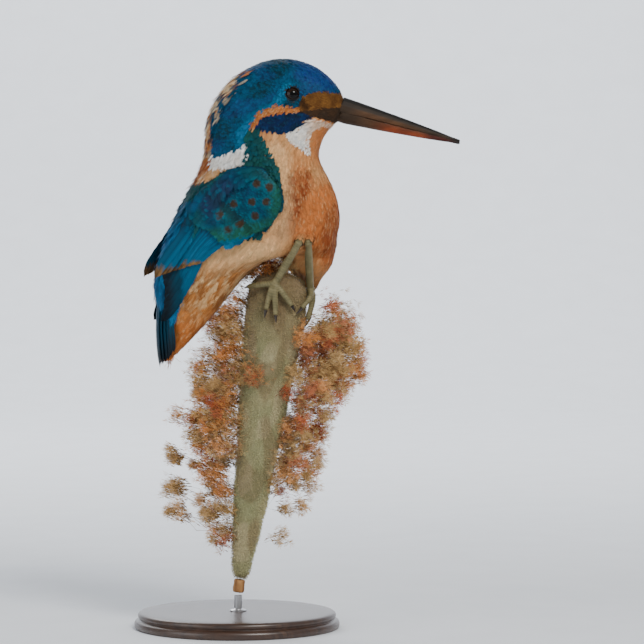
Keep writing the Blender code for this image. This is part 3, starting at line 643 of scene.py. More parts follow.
SHAPES = {
    # corners of each marking on the bird's profile, in millimetres ahead of and above the eye
    "mantle": [(-15.5, -11), (-11.5, -11.5), (-8.5, -16.5), (-5.6, -24.6), (-4, -30.5), (-3, -38),
               (-11, -49), (-28, -50), (-34, -63), (-42, -80), (-60, -80), (-60, -29.5),
               (-34, -29.3), (-24.5, -28.5), (-20.7, -27), (-18.1, -22.6), (-16, -17)],
    "back": [(-32, -36), (-28, -50), (-34, -63), (-42, -80), (-60, -80), (-60, -36)],
    "neck_rear": [(-40, -20), (-28, -20.5), (-28, -24), (-31, -30), (-40, -31)],
    "neck_peach": [(-29.5, -25), (-24.5, -23.5), (-19, -23.5), (-20.5, -27.5), (-24.5, -29),
                   (-33, -29.8), (-31.5, -26.5)],
    "neck_white": [(-28.5, -20.5), (-23, -19.5), (-15.5, -16), (-15.3, -20), (-17, -22.8),
                   (-20, -24.4), (-24.5, -24.4), (-29, -25.2)],
    "throat": [(-1.8, -13.2), (1.5, -12.2), (5.6, -10.4), (8.6, -8.8), (14, -9.8), (21, -11.2),
               (21, -11.8), (12, -11.0), (8.4, -12.6), (7, -16), (7.2, -20.5), (3.6, -17.5)],
    "cap": [(24, 2), (19.6, -0.2), (3.8, -0.2), (2.2, -4.8), (-6.6, -3.2), (-11, -4.6),
            (-14.8, -9.8), (-15.5, -14.5), (-17, -17.4), (-23, -20), (-28, -21), (-40, -20),
            (-40, 25), (24, 25)],
    "malar": [(-13.2, -9.8), (-10.8, -7.6), (-7.6, -6.4), (0, -6.1), (4.4, -6.4), (8.8, -8.6),
              (5, -10.6), (1, -12.4), (-4.4, -13), (-8.1, -12), (-12.4, -10.8)],
    "ear": [(3.6, -5.9), (3.2, -4.6), (-6, -3.0), (-11, -4.4), (-15, -9.8), (-15.6, -11.4),
            (-12.8, -10.4), (-11, -8), (-7.4, -6.4), (-0.6, -6.0)],
    "lore": [(4, -0.3), (10.5, 0.9), (20, 0.2), (22, -4), (17, -4.6), (8.6, -5.4), (4.0, -5.6),
             (2.9, -4.6), (3.4, -2.6)],
    "gape": [(3.4, -5.7), (8.6, -5.3), (17, -4.5), (22, -4), (22, -11.3), (19.6, -11.2),
             (14, -9.5), (8.8, -8.6), (4.6, -6.5)],
}
REGIONS = ("breast", *SHAPES, "nape")
# washes of colour over one marking: colour, how strong it is, how much more where streaked, the
# stroke it follows in millimetres ahead of and above the eye, its half width and its soft edge
CAP_WASHES = [
    (CAP_BLUE, 0.85, 0, (8, 9), (14, 6), 2, 6),
    # the second wash is painted shade: it darkens the top of the crown, where the lamps above
    # light it most
    (CAP_DARK, 0.6, 0, (-8, 15), (6, 15), 1.5, 6),
]
BREAST_WASHES = [
    (ORANGE, 0.80, 0, (13, -38), (16, -62), 5, 8),
    (ORANGE, 0.5, 0, (-1, -36), (0, -50), 4, 8),
    (ORANGE, 0.55, 0, (14, -11), (11, -20), 1.5, 4),
    (RUSTY, 0.60, 0.40, (2.8, -28.0), (-1.8, -45), 3.0, 2.8),
    (RUSTY, 0.60, 0.35, (17.5, -42), (17.5, -53), 3.0, 6),
    (PEACH, 0.75, 0, (2, -57), (8, -64), 4, 6),
    (RUSTY, 0.3, 0, (-10, -12.8), (-3, -15.5), 0.5, 2.5),
    (CREAM, 0.45, 0, (-5, -18), (-4, -48), 2, 5),
    (CREAM, 0.55, 0, (-27, -53), (-8, -55), 3, 5),
]
# bright azure dabs on the cap, round the eye and over the ear: strength, then the stroke
CAP_DABS = [
    (1, (-4, -1.5), (-1, 2.5), 0.8, 2.2),
    (0.8, (-16, -10), (-17.5, -16.5), 0.8, 2.4),
    (0.7, (-6, -2.6), (-14, -7), 0.3, 1.6),
]


def profile_of(points):
    """Points seen from the side as the bird stands, in millimetres ahead of and above the eye."""
    near = posed(points * (1, 0, 1) + np.abs(points) * (0, -1, 0))
    return (near - EYE)[:, [0, 2]] / MM


def within(spots, corners):
    """Which spots of the profile are inside a marking."""
    inside = np.zeros(len(spots), bool)
    x, z = spots.T
    for (x1, z1), (x2, z2) in zip(corners, corners[1:] + corners[:1]):
        if z1 != z2:
            crossing = x1 + (z - z1) * (x2 - x1) / (z2 - z1)
            inside ^= ((z1 > z) != (z2 > z)) & (x < crossing)
    return inside


def nape_share(points):
    """How far each point is in the shaggy strip down the back of the head and neck."""
    ahead, above = profile_of(points).T
    ahead = ahead + 11 * (blotches(points * (0.25, 1, 0.35), 1.9, 16) - 0.45)
    middle = smoothstep(9.2, 6.4, np.abs(points[:, 1]) / MM)
    return middle * smoothstep(-13, -17, ahead) * smoothstep(12, 8, above)


def region_of(points):
    """Which marking each point of the straight bird is in."""
    spots = profile_of(points)
    region = np.where((spots[:, 0] > -3) & (spots[:, 1] > -8.4), REGIONS.index("gape"), 0)
    for name, corners in SHAPES.items():
        region[within(spots, corners)] = REGIONS.index(name)
    shaggy = (region == REGIONS.index("cap")) & (nape_share(points) > 0.35)
    region[shaggy] = REGIONS.index("nape")
    return region


def washed(colour, spots, washes, streak=0.0):
    """A marking's colour under its washes."""
    for wash, strength, streaked, *stroke in washes:
        colour = mixed(colour, wash, (strength + streaked * streak) * near_stroke(spots, *stroke))
    return colour


def near_stroke(spots, start, end, radius, soft):
    """1 within a radius of a stroke over the profile, fading to 0 over a soft edge."""
    start, end = np.array(start, float), np.array(end, float)
    way = end - start
    share = np.clip(((spots - start) @ way) / (way @ way), 0, 1)
    away = np.linalg.norm(spots - start - share[:, None] * way, axis=1)
    return 1 - smoothstep(radius, radius + soft, away)


# the line the coat follows, from the bill over the eye and down the neck to the tail
COMB = np.array([
    BILL_ROOT, EYE * (1, 0, 1), [14 * MM, 0, 190 * MM], [10 * MM, 0, 176 * MM],
    [5 * MM, 0, 150 * MM], [-12 * MM, 0, 124 * MM], [-28 * MM, 0, 98 * MM],
])
COMB_STEPS = 10
comb_runs = np.diff(COMB, axis=0)
comb_shares = (np.arange(COMB_STEPS) + 0.5) / COMB_STEPS
COMB_PLACES = COMB[:-1, None] + comb_runs[:, None] * comb_shares[None, :, None]
COMB_PLACES = COMB_PLACES.reshape(-1, 3)
COMB_WAYS = np.repeat(unit(comb_runs), COMB_STEPS, axis=0)
comb_gaps = np.linalg.norm(np.diff(COMB_PLACES, axis=0), axis=1)
COMB_REACH = np.concatenate([[0], np.cumsum(comb_gaps)])


def plumage(points, rng=None, part=None):
    """Vane and mark colours, and the strength of the mark, for feathers rooted at points."""
    count = len(points)
    region = region_of(points) if part is None else np.full(count, REGIONS.index(part))
    spots = profile_of(points)
    ahead, above = spots.T
    drift, fine = blotches(points, 11, 3), blotches(points, 3.5, 4)
    chance = rng.random(count) if rng is not None else np.full(count, 0.5)
    other = rng.random(count) if rng is not None else np.full(count, 0.5)

    cap = mixed(CAP_TEAL, CAP_DARK, 0.75 * smoothstep(0.45, 0.85, drift))
    cap = washed(cap, spots, CAP_WASHES)
    cap = mixed(cap, CAP_BLUE, 0.28 * smoothstep(0.55, 0.85, blotches(points, 8, 6)))
    cap_mark = mixed(CAP_AZURE, CAP_BLUE, 0.5 * other)
    dabs = [strength * near_stroke(spots, *stroke) for strength, *stroke in CAP_DABS]
    cap = mixed(cap, CAP_AZURE * 1.1, 0.7 * np.max(dabs, axis=0))
    flame = smoothstep(0.26, 0.44, blotches(points * (1, 1, 0.42), 3.6, 14)) * nape_share(points)
    pale_tip = blotches(points * (1, 1, 0.6), 3.4, 15) - 0.10 * smoothstep(2, -12, above)
    tip = mixed(ORANGE_TIP, CREAM_TIP, smoothstep(0.40, 0.60, pale_tip))
    ear = mixed(EAR_ORANGE, EAR_BROWN, 0.7 * fine)
    lore = mixed(LORE_OCHRE, LORE_BROWN, 0.75 * fine)
    lore = mixed(lore, LORE_BROWN * 0.5, near_stroke(spots, (3.5, -2), (6, -4.5), 0.4, 1.6))
    throat = mixed(WHITE, CREAM, 0.35 * fine)
    throat = mixed(throat, PEACH, smoothstep(5, 12, ahead + 0.4 * (above + 15)) * 0.6)
    breast = mixed(PEACH, ORANGE, 0.18 + 0.35 * (drift - 0.3))
    # drawn together along the lie of the belly, the points give long blotches
    drawn = points - COMB_WAYS[-1] * (points @ COMB_WAYS[-1])[:, None] * 0.84
    streak = smoothstep(0.42, 0.68, blotches(drawn, 2.4, 9))
    breast = washed(breast, spots, BREAST_WASHES, streak)
    low = smoothstep(-56, -64, above) * smoothstep(-2, -10, ahead)
    flank = mixed(FLANK_OCHRE, FLANK_BROWN, 0.25 * smoothstep(-80, -66, above) + 0.6 * streak)
    flank = mixed(flank, CREAM, 0.85 * smoothstep(0.52, 0.74, blotches(drawn, 2.0, 12))
                  * smoothstep(-82, -64, above))
    flank = mixed(flank, ORANGE, 0.65 * smoothstep(-70, -84, above))
    breast = mixed(breast, flank, low)

    back = mixed(BACK_AZURE, BACK_BLUE, drift)
    back = mixed(back, MANTLE_TEAL, 0.6 * smoothstep(-52, -38, above))
    vane, mark, strength = breast.copy(), mixed(PEACH, CREAM, other), 0.35 * (chance < 0.35)
    mark = mixed(mark, FLANK_BROWN, low * (other > 0.45))
    strength = np.where(low > 0.5, 0.6 * (chance < 0.6), strength)
    looks = {
        "mantle": (mixed(MANTLE_GREEN, MANTLE_TEAL, drift), CAP_AZURE * 0.6, 0.4 * (chance < 0.3)),
        "back": (back, BACK_AZURE * 1.1, 0.5 * (chance < 0.6)),
        "neck_rear": (mixed(ORANGE * 0.7, RUSTY, fine), CREAM, 0.4 * (chance < 0.3)),
        "neck_peach": (mixed(PEACH, CREAM, 0.5 * fine), WHITE, 0.4 * (chance < 0.3)),
        "neck_white": (mixed(WHITE, CREAM, 0.2 * fine), WHITE, 0.2 * np.ones(count)),
        "throat": (throat, WHITE, 0.3 * (chance < 0.4)),
        "cap": (cap, cap_mark, (0.3 + 0.6 * other) * (chance < 0.65)),
        "nape": (mixed(cap, tip, flame), CREAM_TIP, 0.5 * flame * (chance < 0.3)),
        "gape": (mixed(GAPE_BROWN, LORE_BROWN, 0.3 * fine), LORE_BROWN, 0.3 * (chance < 0.3)),
        "malar": (mixed(MALAR_NAVY, CAP_BLUE, 0.3 * fine), CAP_AZURE, 0.22 * (chance < 0.25)),
        "ear": (ear, CREAM, 0.4 * (chance < 0.3)),
        "lore": (lore, LORE_BROWN, 0.5 * (chance < 0.4)),
    }
    for name, (colour, second, amount) in looks.items():
        here = region == REGIONS.index(name)
        vane[here], strength[here] = colour[here], amount[here]
        mark[here] = np.broadcast_to(second, (count, 3))[here]
    if rng is not None:
        vane = vane * (1 + 0.13 * rng.normal(0, 1, (count, 1)))
    return {"vane": np.clip(vane, 0.001, 1), "mark": mark, "strength": strength, "spots": spots}


# ==== Skin and lids =======================================================================
# The hide is thin and takes the colour of the plumage over it, a little darker for the duskier
# down and as painted shade between the feathers, so no gap shows. Round each eye it ends in a
# bare lid of dark grey skin, rolled over the rim of the glass.


def lids():
    """Bare rolled lids round both eyes, as points and faces of the straight bird."""
    points, faces = [], []
    ring_steps, roll_steps = 56, 10
    for side in (1, -1):
        eye = EYE * (1, side, 1)
        around = (from_eye(skin_points) < 8 * MM) & (skin_points[:, 1] * side < 0)
        out = unit(skin_normals[around & (from_eye(skin_points) > 4.5 * MM)].sum(axis=0))
        across = unit(np.cross(out, (0, 0, 1)))
        upward = np.cross(across, out)
        first = len(points)
        for i in range(ring_steps):
            turn = math.tau * i / ring_steps
            way = across * math.cos(turn) * 1.06 + upward * math.sin(turn) * 0.94
            middle = eye + way * EYE_RADIUS * 0.83 + out * EYE_RADIUS * 0.56
            for j in range(roll_steps):
                roll = math.tau * j / roll_steps
                thick = EYE_RADIUS * (0.095 + 0.02 * math.sin(turn))
                points.append(middle + (unit(way) * math.cos(roll) + out * math.sin(roll)) * thick)
        for i in range(ring_steps):
            for j in range(roll_steps):
                a, b = i * roll_steps, (i + 1) % ring_steps * roll_steps
                k = (j + 1) % roll_steps
                quad = (first + a + j, first + b + j, first + b + k, first + a + k)
                faces.append(quad if side == 1 else quad[::-1])
    return np.array(points), np.array(faces)


def comb_weights(points):
    """How much each place along the comb line counts at each point."""
    apart = points[:, None] - COMB_PLACES[None]
    weight = 1 / (np.sum(apart * apart, axis=2) + (6 * MM) ** 2) ** 3
    return weight / weight.sum(axis=1, keepdims=True)


def body_map(points):
    """The bird unrolled: round its own middle line, and along it from bill to tail."""
    weight = comb_weights(points)
    middle, way = weight @ COMB_PLACES, unit(weight @ COMB_WAYS)
    side = np.array([0.0, 1.0, 0.0])
    up = np.cross(way, side)
    out = points - middle
    turn = np.arctan2(out @ side, np.sum(out * up, axis=1)) / math.tau
    along = weight @ COMB_REACH + np.sum(out * way, axis=1)
    return np.stack([turn + 0.5, along / COMB_REACH[-1]], axis=1)


down, nodes, links, shader = tinted_material("down_and_skin", 0.9)
relief(nodes, links, shader, grain(nodes, links, 1600), 0.4, 0.1)
LID_GREY = np.array([0.020, 0.026, 0.032])
lid_points, lid_faces = lids()
# the plumage's colour, darkened for the duskier down and as painted shade where skin shows between
# feathers
skin_tint = plumage(skin_points)["vane"] * 0.85
bare = smoothstep(EYE_RADIUS + 1.5 * MM, EYE_RADIUS + 0.5 * MM, from_eye(skin_points))
skin_tint = mixed(skin_tint, LID_GREY * 1.4, bare)
skin_faces_all = np.concatenate([
    skin_faces,
    lid_faces[:, [0, 1, 2]] + len(skin_points),
    lid_faces[:, [0, 2, 3]] + len(skin_points),
])
whole_skin = np.concatenate([skin_points, lid_points])
whole_tint = np.concatenate([skin_tint, np.tile(LID_GREY, (len(lid_points), 1))])
skin_places = body_map(whole_skin)
skin_low, skin_high = skin_places.min(axis=0), skin_places.max(axis=0)
skin_map = 0.01 + 0.98 * (skin_places - skin_low) / (skin_high - skin_low)
corner_map = skin_map[skin_faces_all]
torn = corner_map[:, :, 0].max(axis=1) - corner_map[:, :, 0].min(axis=1) > 0.5
corner_map[torn, :, 0] = np.where(corner_map[torn, :, 0] < 0.5, 0.998, corner_map[torn, :, 0])
skin_mesh = build_mesh("skin", posed(whole_skin), skin_faces_all, None, whole_tint)
layer = skin_mesh.uv_layers.new(name="OFBake")
layer.data.foreach_set("uv", corner_map.reshape(-1).astype(np.float32))
add_piece("skin", skin_mesh, down, "feather_orange", *FLESH)

# ==== Body feathers =======================================================================
# Contour feathers, each a thin cupped vane with a ragged rim of barbs, laid like tiles from
# the bill to the tail: scales on the head, soft and loose-webbed on breast, flank and vent.

# how far round each side of the tip the barbs fan out
BARB_FAN = math.radians(112)


def feather_pattern(rows, barbs, core, tip_spread, bent=True):
    """A flat feather, as along and across shares, faces, and how ragged each point is."""
    middle, reach, sweep = 0.60, 0.40, 1.28
    along, across, loose, faces = [], [], [], []
    inner = reach * core + 0.02
    for i in range(rows):
        share = i / (rows - 1) * (middle + inner * 0.96)
        if share < middle:
            wide = 0.30 + 0.70 * math.sin(share / middle * math.pi / 2)
        else:
            wide = math.sqrt(max(0.02, 1 - ((share - middle) / inner) ** 2))
        wide *= core
        first = len(along)
        along += [share - 0.03 * wide, share, share - 0.03 * wide]
        across += [-wide, 0.0, wide]
        loose += [0.0, 0.0, 0.0]
        if i:
            for k in (0, 1):
                a, b = first - 3 + k, first + k
                faces += [(a, a + 1, b + 1), (a, b + 1, b)]
    for k in range(barbs):
        turn = (k + 0.5) / barbs * 2 - 1
        tip_turn = turn * BARB_FAN
        root_turn = tip_turn * sweep
        step = BARB_FAN / barbs * 1.25
        first = len(along)
        for offset in (-step, step):
            along.append(middle + inner * 0.90 * math.cos(root_turn + offset))
            across.append(core * 0.90 * math.sin(root_turn + offset))
            loose.append(0.0)
        tip_out = 1.0 - tip_spread * (k % 2) - tip_spread * 0.6 * (k % 3 == 1)
        tip_along = middle + reach * tip_out * math.cos(tip_turn) + 0.05 * abs(math.sin(tip_turn))
        tip_across = tip_out * math.sin(tip_turn)
        if bent:
            share = 0.55
            mid_turn = tip_turn * (1 + (sweep - 1) * 0.35)
            along.append(middle + (inner + (reach - inner) * share) * math.cos(mid_turn) + 0.01)
            across.append((core + (1 - core) * share) * math.sin(mid_turn) + 0.02)
            loose.append(0.5)
        along.append(tip_along)
        across.append(tip_across)
        loose.append(1.0)
        if bent:
            faces += [(first, first + 1, first + 2), (first + 1, first + 3, first + 2)]
        else:
            faces.append((first, first + 1, first + 2))
    return facing_up(along, across, loose, [0.0] * len(along), faces)


def facing_up(along, across, loose, ridge, faces):
    """A flat pattern with every face wound so that it looks away from the skin."""
    along, across, loose, ridge, faces = map(np.array, (along, across, loose, ridge, faces))
    x, y = along[faces], across[faces]
    turned_over = ((x[:, 1] - x[:, 0]) * (y[:, 2] - y[:, 0])
                   < (x[:, 2] - x[:, 0]) * (y[:, 1] - y[:, 0]))
    faces[turned_over] = faces[turned_over][:, ::-1]
    return along, across, loose, ridge, faces


def feather_coat(name, spine, ups, width, depth, pattern, tint_of, places, rng,
                 camber=0.35, lift=0.10, ruffle=0.10, bending=0.16, cupped=0.42, mirror=False,
                 strips=False):
    """Feathers as one mesh, each lying along its own line of points over the surface.

    Depth is how far the tips stand off, camber how far the edges drop, and lift how far the
    roots stand off. Ruffle frays the rim, bending sweeps the tip aside, and cupped rounds the
    shading. Strips gives each feather a strip of the map, instead of a patch at its root.
    """
    along, across, loose, ridge, faces = pattern
    count, steps = spine.shape[:2]
    share = np.clip(along, 0, 1) * (steps - 1)
    low = np.minimum(share.astype(int), steps - 2)
    mix = (share - low)[None, :, None]
    base = spine[:, low] * (1 - mix) + spine[:, low + 1] * mix
    up = unit(ups[:, low] * (1 - mix) + ups[:, low + 1] * mix)
    ahead = spine[:, 1:] - spine[:, :-1]
    ahead = np.concatenate([ahead, ahead[:, -1:]], axis=1)
    ahead = unit(ahead[:, low] * (1 - mix) + ahead[:, low + 1] * mix)
    side = unit(np.cross(up, ahead))
    roll = rng.normal(0, 0.07, (count, 1))
    bend = rng.normal(0, bending, (count, 1))
    frayed = loose[None] * rng.normal(0, 1, (2, count, len(along)))
    length = np.linalg.norm(spine[:, -1] - spine[:, 0], axis=1)[:, None]
    out = (across[None] + bend * along[None] ** 2) * width[:, None]
    out = out + frayed[0] * ruffle * width[:, None]
    height = np.reshape(lift, (-1, 1)) * MM + depth[:, None] * along[None] + roll * out
    height = height + ridge[None] * MM
    height = height - camber * np.abs(across[None]) ** 1.6 * width[:, None] * 0.45
    height = height + frayed[1] * ruffle * 0.5 * width[:, None]
    points = base + side * out[..., None] + up * height[..., None]
    points = points + ahead * (frayed[1] * 0.03 * length)[..., None]
    normals = up + side * (across[None] * cupped + roll)[..., None] + ahead * 0.10
    tint = tint_of(along, across, points)
    order = (np.arange(count) * len(along))[:, None, None] + faces[None]
    # barbs that have bent back over themselves are wound the other way, to look outwards again
    corners = points[:, faces]
    looks = np.cross(corners[:, :, 1] - corners[:, :, 0], corners[:, :, 2] - corners[:, :, 0])
    under = np.sum(looks * normals[:, faces[:, 0]], axis=-1) < 0
    order[under] = order[under][:, ::-1]
    flat, ways = points.reshape(-1, 3), normals.reshape(-1, 3)
    if mirror:
        flat, ways, order = flat * (1, -1, 1), ways * (1, -1, 1), order[:, :, ::-1]
    spread = (count, len(along))
    vane = np.stack([np.broadcast_to(across * 0.5 + 0.5, spread),
                     np.broadcast_to(along, spread)], axis=-1)
    if strips:
        lane = (np.arange(count)[:, None] + 0.5 + 0.46 * np.broadcast_to(across, spread)) / count
        baked = np.stack([lane, 0.01 + 0.98 * np.broadcast_to(along, spread)], axis=-1)
    else:
        baked = spread_map(places, along, across)
    return build_mesh(
        name, posed(flat), order.reshape(-1, 3), posed_ways(flat, ways), tint.reshape(-1, 3),
        {"OFBake": baked.reshape(-1, 2), "vane": vane.reshape(-1, 2)},
    )


def vane_material(name, roughness, sheen, barbs, low, high, bump):
    """Feather vanes: their own colour under fine slanting barbs, with a soft silky sheen."""
    made, nodes, links, shader = new_material(name, roughness)
    shader.inputs["Sheen Weight"].default_value = sheen
    shader.inputs["Sheen Roughness"].default_value = 0.4
    shader.inputs["Specular IOR Level"].default_value = 0.14
    place = nodes.new("ShaderNodeUVMap")
    place.uv_map = "vane"
    split = nodes.new("ShaderNodeSeparateXYZ")
    links.new(place.outputs["UV"], split.inputs[0])

    def sum_node(operation, first, second=None, third=None):
        node = nodes.new("ShaderNodeMath")
        node.operation = operation
        for socket, value in zip(node.inputs, (first, second, third)):
            if isinstance(value, (int, float)):
                socket.default_value = value
            elif value is not None:
                links.new(value, socket)
        return node.outputs[0]

    off = sum_node("ABSOLUTE", sum_node("SUBTRACT", split.outputs["X"], 0.5))
    slant = sum_node("MULTIPLY_ADD", off, -0.55, split.outputs["Y"])
    wave = sum_node("SINE", sum_node("MULTIPLY", slant, barbs * math.tau))
    own_colours(nodes, links, shader, wave, -1, low, high)
    relief(nodes, links, shader, wave, bump, 0.03)
    return made


def soft_tint(look):
    """Dusky at the root and paler to the tip, with the mark as a streak along the shaft."""
    def tint_of(along, across, _):
        deep = smoothstep(0.0, 0.55, along)[None, :, None]
        tint = look["vane"][:, None] * (0.86 + 0.18 * deep)
        streak = smoothstep(0.65, 0.15, np.abs(across)) * smoothstep(0.45, 0.75, along)
        weight = streak[None, :, None] * look["strength"][:, None, None]
        return tint + (look["mark"][:, None] - tint) * weight
    return tint_of


def scale_tint(look):
    """Dark scales, each with a bright bar before a dark tip."""
    def tint_of(along, across, _):
        deep = smoothstep(0.1, 0.6, along)[None, :, None]
        tint = look["vane"][:, None] * (0.50 + 0.55 * deep)
        bar = smoothstep(0.58, 0.72, along) * smoothstep(1.02, 0.92, along)
        bar = bar * (0.45 + 0.55 * smoothstep(0.05, 0.6, np.abs(across)))
        weight = bar[None, :, None] * look["strength"][:, None, None]
        return tint + (look["mark"][:, None] - tint) * weight
    return tint_of


def lie_of(points, normals):
    """Which way the coat lies at points of the skin, parting round the eyes."""
    way = comb_weights(points) @ COMB_WAYS
    out = unit(points - EYE * np.where(points[:, 1:2] > 0, (1, -1, 1), (1, 1, 1)))
    near = 1 - smoothstep(1.0, 2.4, from_eye(points) / EYE_RADIUS)
    inward = np.minimum(np.sum(way * out, axis=1) - 0.15, 0) * near
    way = way - 1.05 * out * inward[:, None]
    way = way - normals * np.sum(way * normals, axis=1, keepdims=True)
    return unit(way)


# the heights between which the last feathers of the vent leave the skin
VENT_HELD, VENT_FREE = 109 * MM, 104 * MM


def spines_from(roots, ups, lengths, rng):
    """Lines over the skin from each root, along the lie of the coat."""
    steps = 3
    line, normals = [roots], [ups]
    lean = rng.normal(0, 0.10, len(roots))[:, None]
    here, up = roots, ups
    last = lie_of(here, up)
    for _ in range(steps):
        loose = smoothstep(VENT_HELD, VENT_FREE, here[:, 2])[:, None]
        way = unit(lie_of(here, up) * (1 - loose) + last * loose)
        way = unit(way + np.cross(up, way) * lean * (1 - loose))
        ahead = here + way * (lengths / steps)[:, None]
        held, held_up = onto_skin(ahead)
        # the last feathers of the vent run on past the skin towards the tail's tip
        free = smoothstep(VENT_HELD, VENT_FREE, ahead[:, 2])[:, None]
        here, up = held + (ahead - held) * free, unit(held_up + (up - held_up) * free)
        last = way
        line.append(here)
        normals.append(up)
    return np.stack(line, axis=1), np.stack(normals, axis=1)


WING_NODES = ("coverts", "secondaries", "primaries")
wing_forms = [solid_of("wing_right_" + part, 0.0, straight) for part in WING_NODES]
# the folded wing's smooth outer shape, which hides the skin under it and carries its feathers
wing_mesh = fused("wing_shape", wing_forms, 0.5)
wing_shape_points = relaxed(wing_mesh, points_of(wing_mesh), 6)
wing_faces = faces_of(wing_mesh)
set_points(wing_mesh, wing_shape_points)
wing_tree = BVHTree.FromPolygons(wing_shape_points.tolist(), wing_faces.tolist())
# the folded wing's middle line from shoulder to tip: ahead, up and half its depth, in mm
WING_LINE = np.array([
    (12.8, 165.6, 3.4), (9.4, 163.6, 8.0), (1.6, 158.4, 11.6), (-8.4, 149.8, 11.4),
    (-16.8, 139.8, 8.8), (-23.4, 128.4, 5.8), (-28.2, 118.6, 3.3), (-30.6, 112.4, 1.0),
]) * MM
line_steps = np.linalg.norm(np.diff(WING_LINE[:, :2], axis=0), axis=1)
line_reach = np.concatenate([[0], np.cumsum(line_steps)])
WING_LENGTH = line_reach[-1]
FINE = 121
fine_reach = np.linspace(0, 1, FINE)
fine_line = np.stack([np.interp(fine_reach, line_reach / WING_LENGTH, WING_LINE[:, k])
                      for k in range(3)], axis=1)
for _ in range(40):
    fine_line[1:-1] = (fine_line[:-2] + 2 * fine_line[1:-1] + fine_line[2:]) / 4
fine_way = unit(np.gradient(fine_line[:, :2], axis=0))


def belly_edge(reach):
    """Where the wing's feathers end towards the belly, as a share of half its depth."""
    return np.interp(reach, (0, 0.22, 0.38, 0.50, 0.62, 0.75, 1),
                     (1.04, 1.0, 0.74, 0.50, 0.38, 0.9, 1.1))


def wing_places(points):
    """Reach along the folded wing and share across it, for points seen from the side."""
    flat = points[:, [0, 2]]
    nearest = np.linalg.norm(flat[:, None] - fine_line[None, :, :2], axis=2).argmin(axis=1)
    way, off = fine_way[nearest], flat - fine_line[nearest, :2]
    across = off[:, 1] * way[:, 0] - off[:, 0] * way[:, 1]
    return fine_reach[nearest], across / fine_line[nearest, 2]


# how far outside the skin the wing can be and still cover it
WING_GAP = 9 * MM


def under_wing(points, normals):
    """Whether a folded wing covers points of the skin."""
    flip = np.where(points[:, 1:2] > 0, (1, -1, 1), (1, 1, 1))
    starts, ways = points * flip, normals * flip
    hit = np.array([
        wing_tree.ray_cast(Vector(p), Vector(n), WING_GAP)[0] is not None
        for p, n in zip(starts, ways)
    ])
    reach, across = wing_places(starts)
    return hit & (across < belly_edge(reach) - 0.15)


soft_vane = vane_material("soft_vane", 0.80, 0.06, 7, 0.92, 1.05, 0.06)
scale_vane = vane_material("scale_vane", 0.60, 0.0, 8, 0.86, 1.06, 0.12)
soft_pattern = feather_pattern(3, 19, 0.62, tip_spread=0.10)
loose_pattern = feather_pattern(3, 21, 0.56, tip_spread=0.12)
scale_pattern = feather_pattern(4, 11, 0.80, tip_spread=0.05, bent=False)
tiny_pattern = feather_pattern(3, 9, 0.60, tip_spread=0.08, bent=False)
COATS = {
    # marking: spacing, length, half width, depth in mm, pattern, material, tint, slot
    "cap": (0.62, 2.7, 0.80, 0.50, scale_pattern, scale_vane, scale_tint, "feather_blue"),
    "malar": (0.52, 2.2, 0.52, 0.50, scale_pattern, scale_vane, scale_tint, "feather_blue"),
    "nape": (0.60, 4.6, 0.58, 1.05, soft_pattern, soft_vane, soft_tint, "feather_orange"),
    "gape": (0.42, 1.3, 0.32, 0.16, tiny_pattern, soft_vane, soft_tint, "bill_horn"),
    "lore": (0.42, 1.5, 0.34, 0.36, tiny_pattern, soft_vane, soft_tint, "feather_orange"),
    "ear": (0.48, 2.2, 0.42, 0.55, tiny_pattern, soft_vane, soft_tint, "feather_orange"),
    "throat": (0.56, 3.2, 0.60, 0.7, soft_pattern, soft_vane, soft_tint, "feather_orange"),
    "neck_white": (0.68, 4.0, 0.72, 1.2, soft_pattern, soft_vane, soft_tint, "feather_orange"),
    "neck_peach": (0.68, 4.0, 0.72, 1.2, soft_pattern, soft_vane, soft_tint, "feather_orange"),
    "neck_rear": (0.72, 4.5, 0.76, 1.3, soft_pattern, soft_vane, soft_tint, "feather_orange"),
    "mantle": (0.85, 4.6, 1.0, 1.3, scale_pattern, scale_vane, scale_tint, "feather_teal"),
    "back": (1.0, 6.2, 1.30, 1.5, soft_pattern, scale_vane, soft_tint, "feather_blue"),
    "breast": (0.62, 5.0, 0.80, 0.50, soft_pattern, soft_vane, soft_tint, "feather_orange"),
    "vent": (0.70, 7.2, 0.92, 0.55, loose_pattern, soft_vane, soft_tint, "feather_orange"),
}
face_middles = skin_points[skin_faces].mean(axis=1)
skin_region = region_of(face_middles)
face_covered = np.zeros(len(face_middles), bool)
near_wing = np.abs(face_middles[:, 1]) > 3 * MM
near_wing &= (face_middles[:, 2] < 175 * MM) & (face_middles[:, 0] < 20 * MM)
face_covered[near_wing] = under_wing(face_middles[near_wing], face_normals[near_wing])
vent = (skin_region == 0) & (face_middles[:, 2] < 139 * MM) & (face_middles[:, 0] < 14 * MM)
